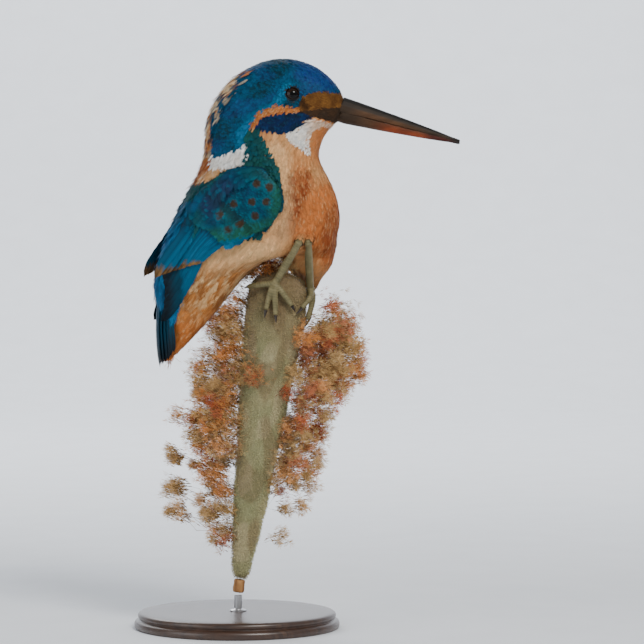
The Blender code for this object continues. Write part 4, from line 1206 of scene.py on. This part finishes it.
for index, (part, coat) in enumerate(COATS.items()):
    spacing, length, half, deep, pattern, material, tint_kind, slot = coat
    if part == "vent":
        wanted = vent
    else:
        wanted = (skin_region == REGIONS.index(part)) & ~vent
    for side, sign in (("right", -1), ("left", 1)):
        rng = np.random.default_rng(100 + 2 * index + (sign > 0))
        here = wanted & (face_middles[:, 1] * sign >= 0) & ~face_covered
        roots, face = scattered(skin_points, skin_faces, here.astype(float), spacing, rng)
        ups = face_normals[face]
        before_eye = profile_of(roots)[:, 0] > 0.5
        clear = from_eye(roots) > EYE_RADIUS + np.where(before_eye, 0.5, 0.08) * MM
        # none on the blunt end of the vent, which its last feathers run out over
        clear &= (roots[:, 2] > 108 * MM) | (np.sum(ups * COMB_WAYS[-1], axis=1) < 0.6)
        roots, ups = roots[clear], ups[clear]
        lengths = length * MM * rng.normal(1, 0.12, len(roots))
        lengths *= mixed(0.55, 1, smoothstep(
            3 * MM, 20 * MM, np.linalg.norm(roots - BILL_ROOT, axis=1)))
        lengths *= mixed(0.35, 1, smoothstep(EYE_RADIUS, 8 * MM, from_eye(roots)))
        look = plumage(roots, rng, "breast" if part == "vent" else part)
        if part == "cap":
            # the crown's hind feathers are longer, and stand out a little over the nape
            behind = look["spots"] @ (1, 0.3)
            lengths *= 1 + 0.35 * smoothstep(-6, -20, behind)
        if part == "nape":
            lengths *= rng.uniform(0.7, 1.35, len(roots))
        vent_end = smoothstep(118 * MM, 106 * MM, roots[:, 2]) * (part == "vent")
        lengths *= 1 - 0.25 * vent_end
        # short on the point of the belly, which they would curl round
        on_point = smoothstep(132 * MM, 125 * MM, roots[:, 2]) * (roots[:, 0] > 12 * MM)
        lengths *= 1 - 0.65 * on_point
        scale = lengths / (length * MM)
        spine, lines_up = spines_from(roots, ups, lengths, rng)
        width = half * MM * rng.normal(1, 0.1, len(roots)) * scale ** 0.6
        height = deep * MM * rng.normal(1, 0.16, len(roots)) * scale * (1 - 0.6 * vent_end)
        name = "coat_" + part + "_" + side
        flat = tint_kind is soft_tint
        mesh = feather_coat(name, spine, lines_up, width, height, pattern, tint_kind(look),
                            body_map(roots), rng, camber=0.20 if flat else 0.35,
                            ruffle=0.06 if flat else 0.10, cupped=0.25 if flat else 0.42)
        add_piece(name, mesh, material, slot)

# ==== Wings ===============================================================================
# Folded wings: a slim inner form under rows of small spotted coverts, and below them the long
# flight feathers, stiff vanes on a raised shaft that overlap like a closed fan. Scapulars rooted
# on the back close the gap along each wing's upper edge.


def on_wing(reach, across):
    """Points and normals of the right wing's outer face. Across is 1 at the belly edge."""
    line = np.stack([np.interp(reach, fine_reach, fine_line[:, k]) for k in range(3)], axis=-1)
    way = unit(np.stack([np.interp(reach, fine_reach, fine_way[:, k]) for k in range(2)], axis=-1))
    aside = np.stack([-way[..., 1], way[..., 0]], axis=-1)
    flat = line[..., :2] + aside * (across * line[..., 2])[..., None]
    points, normals = [], []
    for x, z in flat.reshape(-1, 2):
        spot, normal, _, _ = wing_tree.ray_cast(Vector((x, -0.06, z)), Vector((0, 1, 0)), 0.058)
        if spot is None:
            spot, normal, _, _ = wing_tree.find_nearest(Vector((x, -0.014, z)))
        points.append(spot)
        normals.append(normal)
    return (np.array(points).reshape(*flat.shape[:-1], 3),
            np.array(normals).reshape(*flat.shape[:-1], 3))


def wing_spines(reach, across, lengths, across_end, steps):
    """Lines over the wing from each root, as points and normals."""
    share = np.linspace(0, 1, steps)[None]
    along = reach[:, None] + (lengths / WING_LENGTH)[:, None] * share
    return on_wing(np.clip(along, 0, 1), across[:, None] + (across_end - across)[:, None] * share)


COVERT_TEAL, COVERT_BLUE = np.array([0.002, 0.054, 0.064]), np.array([0.002, 0.036, 0.080])
COVERT_GREEN, COVERT_VIOLET = np.array([0.004, 0.080, 0.048]), np.array([0.007, 0.013, 0.052])
SPOT_BROWN, SPOT_AZURE = np.array([0.042, 0.021, 0.009]), np.array([0.005, 0.130, 0.190])
EDGE_AZURE, FLIGHT_TEAL = np.array([0.001, 0.094, 0.185]), np.array([0.001, 0.040, 0.068])
TIP_BROWN = np.array([0.190, 0.098, 0.032])
TAIL_BLUE, TAIL_DARK = np.array([0.001, 0.036, 0.066]), np.array([0.001, 0.007, 0.012])
# the covert patch's corners and the middles of its spots, in mm ahead of and above the eye
COVERT_PATCH = [(-20.4, -25), (-4, -25), (-3, -40.3), (-7.3, -48.7), (-15.5, -51.7),
                (-29.6, -54.3), (-36.2, -53.2), (-35.4, -44), (-33, -38.5), (-28.5, -32.2)]
SPOTS = [(-12.8, -32.6), (-8.1, -33.7), (-21.1, -40.1), (-14.4, -39.2), (-9.3, -39.2),
         (-25.9, -43.8), (-13.3, -44.2), (-18.5, -47.4), (-23.1, -49.2)]


def strip_tint(flat, spots):
    """The wing behind the covert patch: green at the shoulder, then teal, then azure."""
    above = spots[:, 1]
    tint = mixed(FLIGHT_TEAL, BACK_BLUE, 0.5 * blotches(flat, 9, 71))
    tint = mixed(tint, MANTLE_GREEN, 0.7 * smoothstep(-40, -30, above))
    return mixed(tint, EDGE_AZURE, smoothstep(-46, -54, above))


def covert_tint(count, rng):
    """Teal coverts, some with bright tips, and brown ones in azure rings at the spots."""
    tone = 1 + 0.12 * rng.normal(0, 1, (count, 1, 1))
    wobble = rng.normal(0, 0.16, (count, 1))
    speck = (rng.random(count) < 0.5) * rng.uniform(0.15, 0.50, count)

    def tint_of(along, across, points):
        flat = points.reshape(-1, 3)
        spots = profile_of(flat)
        patch = mixed(COVERT_TEAL, COVERT_BLUE, blotches(flat, 9, 73))
        rim = near_stroke(spots, (-5, -28), (-5, -42), 1, 4)
        rim = np.maximum(rim, near_stroke(spots, (-8, -48), (-32, -53), 1, 4))
        patch = mixed(patch, COVERT_GREEN, 0.85 * rim)
        patch = mixed(patch, COVERT_VIOLET, 0.7 * near_stroke(spots, (-30, -40), (-25, -35), 2, 4))
        inside = within(spots, COVERT_PATCH)[:, None]
        tint = np.where(inside, patch, strip_tint(flat, spots)).reshape(*points.shape)
        deep = 0.55 + 0.5 * smoothstep(0.15, 0.7, along)[None, :, None]
        tip = (smoothstep(0.45, 0.72, along) * (0.6 + 0.4 * smoothstep(1.02, 0.9, along)))[None, :]
        dot = smoothstep(0.70, 0.80, along) * smoothstep(0.75, 0.3, np.abs(across))
        away = np.min([np.linalg.norm(spots - spot, axis=1) for spot in SPOTS], axis=0)
        away = away.reshape(points.shape[:2]) + wobble
        ring = smoothstep(2.9, 2.1, away) * 0.45 * tip
        tint = mixed(tint * deep, SPOT_AZURE, np.maximum(ring, speck[:, None] * dot[None, :]))
        return mixed(tint, SPOT_BROWN, 0.95 * smoothstep(1.55, 1.20, away)) * tone
    return tint_of


def flight_tint(rng, count, brown_from, dusk_from):
    """Teal to azure vanes with dusky inner webs and shafts, brown towards the tip."""
    tone = 1 + 0.10 * rng.normal(0, 1, (count, 1, 1))
    start = brown_from + rng.normal(0, 0.012, (count, 1))

    def tint_of(along, across, points):
        flat = points.reshape(-1, 3)
        tint = strip_tint(flat, profile_of(flat)).reshape(*points.shape)
        edge = smoothstep(0.35, 0.95, across)[None, :] * np.ones((count, 1))
        tint = mixed(tint, EDGE_AZURE, 0.5 * edge)
        fine = blotches(flat, 2.5, 74).reshape(points.shape[:2])
        reach = along[None, :] + 0.045 * (fine - 0.5) - 0.03 * np.abs(across)[None, :]
        brown = smoothstep(start - 0.03, start + 0.03, reach)
        tint = mixed(tint, TIP_BROWN * (0.55 + 0.75 * fine)[:, :, None], brown)
        dusk = smoothstep(dusk_from - 0.08, dusk_from + 0.06, reach)
        tint = mixed(tint, mixed(TAIL_BLUE, TAIL_DARK, smoothstep(0.75, 1.0, along)), dusk)
        inner = smoothstep(-0.1, -0.8, across)[None, :, None]
        shaft = smoothstep(0.07, 0.03, np.abs(across))[None, :, None]
        return tint * (1 - 0.5 * inner) * (1 - 0.55 * shaft) * tone
    return tint_of


def flight_pattern(rows):
    """A long stiff vane, wider behind its raised shaft, with barbs notching the edges."""
    along, across, loose, ridge, faces = [], [], [], [], []
    notch = 0.05
    for i in range(rows):
        share = i / (rows - 1)
        wide = (0.42 + 0.58 * smoothstep(0, 0.35, share)) * math.sqrt(max(0.0, 1 - share ** 14))
        ragged = 1 - notch * (i % 2) - notch * 1.5 * (i % 7 == 3)
        narrow = wide * 0.8 * ragged
        wide = max(wide * ragged, 0.03)
        first = len(along)
        along += [share - 0.012, share - 0.006, share, share, share, share - 0.006, share - 0.012]
        across += [-wide, -wide * 0.5, -0.045, 0.0, 0.045, narrow * 0.5, max(narrow, 0.03)]
        loose += [0.0] * 7
        ridge += [0.0, 0.03, 0.0, 0.13 * (1.1 - share), 0.0, 0.03, 0.0]
        if i:
            for k in range(6):
                a, b = first - 7 + k, first + k
                faces += [(a, a + 1, b + 1), (a, b + 1, b)]
    return facing_up(along, across, loose, ridge, faces)


covert_vane = vane_material("covert_vane", 0.55, 0.0, 8, 0.86, 1.06, 0.12)
flight_vane = vane_material("flight_vane", 0.50, 0.0, 52, 0.74, 1.12, 0.35)
covert_pattern = feather_pattern(5, 15, 0.86, tip_spread=0.035, bent=False)
quill_pattern = flight_pattern(27)
FORM_GREY, FORM_DEPTH = np.array([0.035, 0.040, 0.045]), 0.7 * MM
PRIMARIES, SECONDARIES = 8, 11
SCAPULAR_ROWS = [
    # how far in from the wing's edge each is rooted, where across it ends, and its length in mm
    (6.0, -0.42, 8.6), (4.4, -0.62, 8.0), (2.8, -0.82, 7.4),
]
for side, sign in (("right", -1), ("left", 1)):
    wing = "wing_" + side
    rng = np.random.default_rng(300 + sign)
    flip = sign > 0
    core_points = wing_shape_points - normals_of(wing_mesh) * FORM_DEPTH
    # cut off short and along the belly, where the feathers are on their own
    core_reach, core_across = wing_places(core_points[wing_faces].mean(axis=1))
    kept = (core_reach < 0.46) & (core_across < belly_edge(core_reach) - 0.12)
    core_faces = wing_faces[kept][:, ::-1] if flip else wing_faces[kept]
    used, core_faces = np.unique(core_faces, return_inverse=True)
    core_points, core_faces = core_points[used] * (1, -sign, 1), core_faces.reshape(-1, 3)
    seen = core_points[:, [0, 2]]
    core_map = 0.02 + 0.96 * (seen - seen.min(axis=0)) / np.ptp(seen, axis=0)
    core = build_mesh(wing + "_form", posed(core_points), core_faces, None,
                      np.tile(FORM_GREY, (len(core_points), 1)), {"OFBake": core_map})
    add_piece(wing + "_form", core, down, "feather_blue")

    # primaries: the inner ones lie over the outer, whose tips reach furthest. Each has the reach
    # of its root and of its tip along the wing, and where across the wing it starts
    order = np.arange(PRIMARIES)
    reach = 0.40 + 0.012 * order
    tips = 0.775 + 0.0325 * order
    across = -0.55 + 0.07 * order
    spine, ups = wing_spines(reach, across, (tips - reach) * WING_LENGTH,
                             -0.92 + 0.235 * order, 9)
    mesh = feather_coat(wing + "_primary_feathers", spine, ups,
                        np.full(PRIMARIES, 2.5 * MM), np.full(PRIMARIES, 0.15 * MM),
                        quill_pattern, flight_tint(rng, PRIMARIES, 1.5, 0.64), None, rng,
                        lift=0.70 - 0.12 * order, ruffle=0, bending=0.05, mirror=flip, strips=True)
    add_piece(wing + "_primary_feathers", mesh, flight_vane, "feather_blue", wing + "_primaries")

    # secondaries and tertials: parallel, the hindmost on top
    order = np.arange(SECONDARIES)
    reach = 0.27 + 0.010 * order
    tips = 0.755 - 0.0125 * order
    across = -0.80 + 0.12 * order
    spine, ups = wing_spines(reach, across, (tips - reach) * WING_LENGTH,
                             -0.78 + 0.09 * order, 9)
    # the hindmost cross over the rump's edge, where their brown tips stand out from the back
    crossing = np.interp(order, (0, 1, 2, 3, 4), (4.4, 3.4, 2.2, 1.0, 0))[:, None]
    crossing = crossing * smoothstep(0.50, 1.0, np.linspace(0, 1, 9))[None] * MM
    spine = spine + crossing[..., None] * (-1, -0.25, -0.1)
    mesh = feather_coat(wing + "_secondary_feathers", spine, ups,
                        np.full(SECONDARIES, 2.6 * MM), np.full(SECONDARIES, 0.25 * MM),
                        quill_pattern, flight_tint(rng, SECONDARIES, 0.87, 1.5), None, rng,
                        lift=1.20 - 0.06 * order, ruffle=0, bending=0.05, mirror=flip, strips=True)
    add_piece(wing + "_secondary_feathers", mesh, flight_vane, "feather_blue",
              wing + "_secondaries")

    # coverts: rows of scales that grow longer away from the shoulder, each row shifted by half a
    # lane from the one before
    reaches, acrosses, sizes = [], [], []
    reach = -0.015
    row = 0
    while reach < 0.385:
        half = float(np.interp(max(reach, 0), fine_reach, fine_line[:, 2])) / MM
        size = 2.6 + 3.6 * float(smoothstep(0.22, 0.38, reach))
        step = size * 0.25
        number = max(3, int(round(2.2 * half / (size * 0.33))))
        lanes = (np.arange(number) + 0.25 + 0.5 * (row % 2)) / number * 2 - 1
        edge = float(belly_edge(reach + 0.05))
        lanes = np.where(lanes > 0, lanes * edge, lanes * 1.04)
        lanes = lanes + rng.normal(0, 0.10 / number, number)
        reaches.append(reach + rng.normal(0, 0.003, number))
        acrosses.append(lanes)
        sizes.append(np.full(number, size) * rng.normal(1, 0.06, number))
        reach += step * MM / WING_LENGTH
        row += 1
    reach, across = np.concatenate(reaches), np.concatenate(acrosses)
    size = np.concatenate(sizes) * MM
    spine, ups = wing_spines(reach, across, size, across * 0.97, 4)
    grow = smoothstep(-0.02, 0.10, reach)
    mesh = feather_coat(wing + "_covert_feathers", spine, ups, size * 0.31,
                        (0.25 + 0.45 * grow) * MM, covert_pattern,
                        covert_tint(len(reach), rng),
                        np.stack([reach, across], axis=1), rng, camber=0.30,
                        lift=0.20 + 1.10 * smoothstep(0.24, 0.32, reach), bending=0.06,
                        ruffle=0.03, mirror=flip)
    add_piece(wing + "_covert_feathers", mesh, covert_vane, "feather_teal", wing + "_coverts")

    # scapulars: rooted on the back, they lie over the gap between it and the wing's upper edge
    roots, tips, root_ups, tip_ups = [], [], [], []
    for inward, across, long in SCAPULAR_ROWS:
        reach = np.arange(-0.01, 0.50, 0.020)
        reach = reach + rng.normal(0, 0.003, len(reach))
        edge, _ = on_wing(np.clip(reach, 0, 1), np.full(len(reach), -0.98))
        start, start_up = onto_skin(edge + np.array([0, inward, 0.5]) * MM)
        shares = across + rng.normal(0, 0.04, len(reach))
        end, end_up = on_wing(np.clip(reach + long * MM / WING_LENGTH, 0, 1), shares)
        roots.append(start + start_up * 0.9 * MM)
        tips.append(end + end_up * 1.3 * MM)
        root_ups.append(start_up)
        tip_ups.append(end_up)
    roots, tips = np.concatenate(roots)[:, None], np.concatenate(tips)[:, None]
    root_ups, tip_ups = np.concatenate(root_ups)[:, None], np.concatenate(tip_ups)[:, None]
    share = np.linspace(0, 1, 6)[None, :, None]
    ups = unit(root_ups * (1 - share) + tip_ups * share)
    spine = roots * (1 - share) + tips * share + ups * np.sin(share * math.pi) * 1.3 * MM
    count = len(roots)
    mesh = feather_coat(wing + "_scapular_feathers", spine, ups,
                        np.full(count, 1.35 * MM) * rng.normal(1, 0.08, count),
                        np.full(count, 0.2 * MM), covert_pattern, covert_tint(count, rng),
                        body_map(roots[:, 0] * (1, -sign, 1)), rng,
                        camber=0.30, lift=0.1, bending=0.06, ruffle=0.03, mirror=flip)
    add_piece(wing + "_scapular_feathers", mesh, covert_vane, "feather_teal")
bpy.data.meshes.remove(wing_mesh)

# ==== Tail ================================================================================
# Twelve stiff tail feathers, closed to a narrow roof: the middle pair lies on top, and each
# next pair below and outside it.

tail_low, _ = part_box("tail")
TAIL_ROOT = np.array([-27.6, 0, 131.5]) * MM
TAIL_TIP_Z = tail_low.z + 0.4 * MM
TAIL_PAIRS = 6
pairs = np.repeat(np.arange(TAIL_PAIRS), 2)
sides = np.tile([1, -1], TAIL_PAIRS)
share = np.linspace(0, 1, 9)[None, :]
spread = (0.25 + 1.42 * pairs)[:, None] * MM
tail_y = sides[:, None] * spread * (0.25 + 0.75 * share ** 0.8)
tail_z = TAIL_ROOT[2] + (TAIL_TIP_Z + (0.75 * pairs[:, None] ** 1.25) * MM - TAIL_ROOT[2]) * share
droop = (0.85 * np.abs(tail_y) + 0.25 * pairs[:, None] * MM) * (1 - 0.45 * share)
tail_x = TAIL_ROOT[0] - (2.2 * np.sin(share * math.pi * 0.85)) * MM + droop
spine = np.stack([tail_x, tail_y, tail_z], axis=2)
roof = np.sign(tail_y) * 0.55 * (np.abs(tail_y) / (4 * MM)).clip(0, 1)
ups = unit(np.stack([np.full_like(roof, -1.0), roof, np.full_like(roof, -0.05)], axis=2))


def tail_tint(along, across, points):
    """Blue at the root and nearly black at the tip, with dark shafts."""
    tint = mixed(EDGE_AZURE * 0.7, TAIL_BLUE, smoothstep(0.25, 0.55, along))
    tint = mixed(tint, TAIL_DARK, smoothstep(0.62, 0.98, along))
    tint = tint * (1 - 0.6 * smoothstep(0.07, 0.03, np.abs(across)))[:, None]
    tone = 1 + 0.08 * np.sin(np.arange(len(points)) * 2.4)[:, None, None]
    return tint[None] * tone


rng = np.random.default_rng(400)
mesh = feather_coat("tail_feathers", spine, ups, np.full(len(pairs), 2.35 * MM),
                    np.full(len(pairs), 0.1 * MM), quill_pattern, tail_tint, None, rng,
                    camber=0.3, lift=0.2, ruffle=0, bending=0.03, strips=True)
add_piece("tail_feathers", mesh, flight_vane, "feather_blue", "tail")

# ==== Bill ================================================================================
# Two long horn sheaths that meet in a straight cutting edge. The upper has a ridge and a slit
# nostril on each side at its root, and the lower is rust red, as on the female.

BILL_SLOPE = math.radians(-20.9)
BILL_WAY = np.array([math.cos(BILL_SLOPE), 0, math.sin(BILL_SLOPE)])
BILL_DARK, BILL_BROWN = np.array([0.010, 0.008, 0.006]), np.array([0.036, 0.021, 0.011])
BILL_WARM, BILL_RUST = np.array([0.090, 0.038, 0.014]), np.array([0.210, 0.038, 0.010])
BILL_BLOOD, BILL_TIP = np.array([0.050, 0.010, 0.006]), np.array([0.016, 0.012, 0.010])
horn, nodes, links, shader = tinted_material("bill_horn", 0.58, scale=500, low=0.85, high=1.1)
relief(nodes, links, shader, grain(nodes, links, 1300, (0.10, 1, 1), 4), 0.22, 0.06)
for node in ("bill_upper", "bill_lower"):
    upper = node == "bill_upper"
    low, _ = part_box(node)
    form = solid_of(node, 0.12 * MM)
    for vertex in form.verts:
        behind = 1 - smoothstep(0.0, 1.6 * MM, vertex.co.x - low.x)
        vertex.co -= Vector(BILL_WAY) * float(behind) * 1.9 * MM
    mesh = fused(node + "_horn", [form], 0.28)
    points = relaxed(mesh, points_of(mesh), 3)
    set_points(mesh, points)
    normals = normals_of(mesh)
    reach = (points[:, 0] - bill_low.x) / (bill_high.x - bill_low.x)
    spot = points - BILL_ROOT
    if upper:
        along = spot @ BILL_WAY - 4.6 * MM
        up = np.cross((0, -1, 0), BILL_WAY)
        over = spot @ up + 0.9 * MM
        slit = np.exp(-(along / (1.7 * MM)) ** 2 - (over / (0.42 * MM)) ** 2)
        points = points - normals * (0.55 * MM * slit * (np.abs(normals[:, 1]) > 0.3))[:, None]
        groove = np.exp(-((over - 0.1 * MM) / (0.7 * MM)) ** 2) * smoothstep(0.5, 0.1, reach)
        points = points - normals * (0.12 * MM * groove)[:, None]
    wear = (blotches(points * (0.3, 1, 1), 1.5, 81) - 0.5) * 0.05 * MM
    points = points + normals * wear[:, None]
    # fuller towards the tip, which is blunt, so the two halves close on each other
    points = points + normals * (0.32 * MM * smoothstep(0.35, 0.95, reach))[:, None]
    height = normals[:, 2]
    # the two halves swell to meet at the root, inside the gape
    inner = smoothstep(0.4, 0.8, -height if upper else height) * smoothstep(0.22, 0.04, reach)
    points = points + inner[:, None] * (0, 0, (-0.45 if upper else 0.45) * MM)
    set_points(mesh, points)
    warm = smoothstep(0.02, 0.25, reach) * smoothstep(0.75, 0.45, reach)
    if upper:
        tint = mixed(BILL_BROWN, BILL_WARM, 0.75 * warm * smoothstep(0.45, 0.0, height))
        tint = mixed(tint, BILL_DARK, smoothstep(0.1, 0.7, height))
        # the nostril slit is painted darker, as painted shade in its recess
        tint = mixed(tint, BILL_DARK * 0.6, slit)
    else:
        rust = smoothstep(0.20, 0.45, reach) * (0.35 + 0.65 * smoothstep(0.2, -0.7, height))
        tint = mixed(mixed(BILL_BROWN, BILL_WARM, 0.5 * warm), BILL_RUST, rust)
        tint = mixed(tint, BILL_BLOOD, smoothstep(0.66, 0.78, reach))
    tint = mixed(tint, BILL_TIP, smoothstep(0.86, 0.99, reach))
    tint = tint * (0.8 + 0.4 * blotches(points * (0.25, 1, 1), 2.2, 82))[:, None]
    set_tint(mesh, tint)
    add_piece(node + "_horn", mesh, horn, "bill_horn" if upper else "bill_red", node)

# ==== Eyes ================================================================================
# Glass eyes, very dark brown with a black pupil, each a polished ball that bulges at the front.
# They are set into the head from outside and held by the rolled lids.

glass, nodes, links, shader = new_material("dark_glass", 0.04)
shader.inputs["Specular IOR Level"].default_value = 0.20
tint = nodes.new("ShaderNodeAttribute")
tint.attribute_name = "tint"
links.new(tint.outputs["Color"], shader.inputs["Base Color"])
IRIS, PUPIL = np.array([0.020, 0.008, 0.003]), np.array([0.0008, 0.0007, 0.0008])
IRIS_FIBRES = 29
for side, sign in (("right", -1), ("left", 1)):
    ball = bmesh.new()
    bmesh.ops.create_uvsphere(ball, u_segments=64, v_segments=40, radius=EYE_RADIUS)
    mesh = bpy.data.meshes.new("eye_" + side + "_glass")
    ball.to_mesh(mesh)
    ball.free()
    mesh.shade_smooth()
    points = points_of(mesh)
    gaze = unit(np.array([0.22, sign * 1.0, -0.02]))
    facing = unit(points) @ gaze
    bulge = 1 + 0.055 * smoothstep(0.70, 0.93, facing)
    rays = np.arctan2(np.cross(points, gaze)[:, 2], np.cross(points, gaze)[:, 0])
    fibres = 0.7 + 0.3 * np.sin(rays * IRIS_FIBRES)
    tint = mixed(IRIS * 0.5, IRIS, smoothstep(0.62, 0.80, facing) * fibres)
    tint = mixed(tint, PUPIL, smoothstep(0.865, 0.885, facing))
    set_points(mesh, points * bulge[:, None] * 0.985 + EYE * (1, -sign, 1))
    set_tint(mesh, tint)
    add_piece("eye_" + side + "_glass", mesh, glass, "eye", "eye_" + side)

# ==== Legs, feet and claws ================================================================
# Short scaled legs that come out of the belly through a cuff of small feathers, ringed toes
# that grip the seed head, and curved black claws.

SCALE_KHAKI, SCALE_OLIVE = np.array([0.225, 0.190, 0.092]), np.array([0.120, 0.108, 0.050])
scales, nodes, links, shader = tinted_material("leg_scales", 0.48, scale=1500, low=0.8, high=1.1)
relief(nodes, links, shader, grain(nodes, links, 2400), 0.2, 0.05)
# the width of one ring of scales, in mm
SCALE_RING = 0.92
# where each leg bends at the ankle and goes in under the feathers, in mm
SHINS = {"right": ((23.0, -17.0, 142.6), (26.0, -5.0, 149.0)),
         "left": ((26.4, -14.8, 142.6), (28.0, -3.5, 149.0))}
for side, (ankle, inside) in SHINS.items():
    # short feathers round the shin, down to the ankle
    rng = np.random.default_rng(500 + len(side))
    ankle, inside = np.array(ankle) * MM, np.array(inside) * MM
    down_shin = unit(ankle - inside)
    across = unit(np.cross(down_shin, (0, 0, 1)))
    reach = np.repeat(np.linspace(0.14, 0.80, 14), 18)
    turn = rng.uniform(0, math.tau, len(reach))
    out = across * np.cos(turn)[:, None] + np.cross(down_shin, across) * np.sin(turn)[:, None]
    roots = ankle + (inside - ankle) * reach[:, None] + out * (1.35 + 1.1 * reach[:, None]) * MM
    long = (2.6 + 1.8 * reach[:, None]) * MM * rng.normal(1, 0.12, (len(reach), 1))
    share = np.linspace(0, 1, 4)[None, :, None]
    spine = straight(roots[:, None] + (down_shin * long)[:, None] * share)
    ups = unit(straight(roots + out * MM) - straight(roots))[:, None] * np.ones((1, 4, 1))
    look = plumage(spine[:, 0], rng, "breast")
    mesh = feather_coat("coat_shin_" + side, spine, ups, (0.35 + 0.35 * reach) * MM,
                        np.full(len(roots), 0.3 * MM), soft_pattern, soft_tint(look),
                        body_map(spine[:, 0]), rng, camber=0.2, ruffle=0.06, cupped=0.25)
    add_piece("coat_shin_" + side, mesh, soft_vane, "feather_orange")
    ankle, inside = Vector(ankle), Vector(inside)
    turn = (inside - ankle).to_track_quat("Z", "Y").to_matrix().to_4x4()
    shin = bmesh.new()
    bmesh.ops.create_cone(
        shin, cap_ends=True, segments=14, radius1=1.2 * MM, radius2=1.5 * MM,
        depth=(inside - ankle).length,
        matrix=Matrix.Translation((ankle + inside) / 2) @ turn,
    )
    bmesh.ops.create_icosphere(
        shin, subdivisions=2, radius=1.55 * MM, matrix=Matrix.Translation(ankle))
    shank = solid_of("leg_" + side, 0.15 * MM)
    low_end = min(v.co.z for v in shank.verts) + 1.5 * MM
    heel = np.mean([v.co for v in shank.verts if v.co.z < low_end], axis=0)
    mesh = fused("foot_" + side + "_scaled",
                 [shank, shin, solid_of("foot_" + side, 0.12 * MM)], 0.22)
    points = relaxed(mesh, points_of(mesh), 5)
    set_points(mesh, points)
    # rings of scales round the toes, each a small step further from the heel
    away = np.linalg.norm(points - heel, axis=1) / MM
    raised = np.sin((away / SCALE_RING) % 1.0 * math.pi) ** 0.6
    normals = normals_of(mesh)
    outer = smoothstep(-0.35, 0.25, normals[:, 2] + np.abs(normals[:, 1]) * 0.5)
    points = points + normals * ((raised - 0.6) * 0.13 * MM * outer)[:, None]
    set_points(mesh, points)
    tint = mixed(SCALE_OLIVE, SCALE_KHAKI, 0.35 + 0.6 * blotches(points, 2.5, 91))
    # the grooves between the rings of scales on the outer faces are painted darker, as painted
    # shade
    tint = tint * (0.45 + 0.55 * raised ** 0.5 * outer + 0.45 * (1 - outer))[:, None]
    set_tint(mesh, tint)
    add_piece("foot_" + side + "_scaled", mesh, scales, "leg_scale", "leg_" + side, "foot_" + side)

CLAW_BLACK, CLAW_BROWN = (0.010, 0.008, 0.007), (0.050, 0.034, 0.024)
claw_horn, nodes, links, shader = new_material("claw_horn", 0.30)
streaks = grain(nodes, links, 800, (1, 1, 0.3), 3)
links.new(
    shades(nodes, links, streaks, (0.3, CLAW_BLACK), (0.8, CLAW_BROWN)),
    shader.inputs["Base Color"],
)
relief(nodes, links, shader, grain(nodes, links, 2200, (1, 1, 0.2), 2), 0.2, 0.03)
for side in ("right", "left"):
    for toe in ("inner", "middle", "outer", "hind"):
        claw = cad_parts["claw_" + side + "_" + toe]
        claw.data.materials.clear()
        claw.data.materials.append(claw_horn)

# ==== Studio ==============================================================================
# A sheet of pale paper, bent up into a wall behind the model, under four soft lamps. The camera
# looks at the bird's right side from very little above.

floor = bpy.data.meshes.new("floor")
sweep = bmesh.new()
# the paper's outline from the side, in metres: flat, then bent up into a wall
BEND, WALL = 0.8, 1.2
side_line = [(-3.0, 0.0), (WALL, 0.0)]
side_line += [(WALL + BEND * math.sin(a), BEND - BEND * math.cos(a))
              for a in np.linspace(0, math.pi / 2, 16)[1:]]
side_line += [(WALL + BEND, 3.0)]
rows = [[sweep.verts.new((x, y, z)) for x in (-4.0, 4.0)] for y, z in side_line]
for first, second in zip(rows, rows[1:]):
    sweep.faces.new((first[0], first[1], second[1], second[0]))
sweep.to_mesh(floor)
floor.shade_smooth()
backdrop = bpy.data.objects.new("floor", floor)
bpy.context.scene.collection.objects.link(backdrop)
paper, nodes, links, shader = new_material("pale_paper", 0.9)
PAPER_DIM, PAPER_PALE = (0.80, 0.83, 0.87), (0.83, 0.86, 0.90)
links.new(
    shades(nodes, links, grain(nodes, links, 40), (0.3, PAPER_DIM), (0.7, PAPER_PALE)),
    shader.inputs["Base Color"],
)
floor.materials.append(paper)

world = bpy.data.worlds.new("studio")
bpy.context.scene.world = world
world.use_nodes = True
world.node_tree.nodes["Background"].inputs["Color"].default_value = (0.93, 0.96, 1.0, 1)
world.node_tree.nodes["Background"].inputs["Strength"].default_value = 0.45


def softbox(name, place, aim, size, watts, colour):
    """A square lamp turned towards its aim, with its place and size in metres."""
    lamp = bpy.data.lights.new(name, "AREA")
    lamp.shape = "SQUARE"
    lamp.size = size
    lamp.energy = watts
    lamp.color = colour
    holder = bpy.data.objects.new(name, lamp)
    bpy.context.scene.collection.objects.link(holder)
    holder.location = place
    holder.rotation_euler = (Vector(aim) - Vector(place)).to_track_quat("-Z", "Y").to_euler()


AIM = (0.01, 0, 0.12)
softbox("key", (0.55, -0.95, 1.05), AIM, 0.45, 15, (1.0, 0.97, 0.93))
softbox("fill", (-1.1, -0.7, 0.5), AIM, 0.9, 6, (0.92, 0.96, 1.0))
softbox("rim", (-0.5, 0.9, 0.9), AIM, 0.5, 4, (1.0, 1.0, 1.0))
softbox("backdrop_light", (0, 0.5, 1.6), (0, 2.4, 1.15), 1.2, 48, (0.97, 0.98, 1.0))

camera = bpy.data.cameras.new("camera")
holder = bpy.data.objects.new("camera", camera)
bpy.context.scene.collection.objects.link(holder)
FRAME_WIDTH, DISTANCE, RISE = 238 * MM, 1.15, math.radians(2.0)
target = Vector((31.5, 0, 113.2)) * MM
holder.location = target + Vector((0, -math.cos(RISE), math.sin(RISE))) * DISTANCE
holder.rotation_euler = (target - holder.location).to_track_quat("-Z", "Y").to_euler()
camera.sensor_width = 36
camera.lens = camera.sensor_width * DISTANCE / FRAME_WIDTH
camera.clip_end = 10
bpy.context.scene.camera = holder
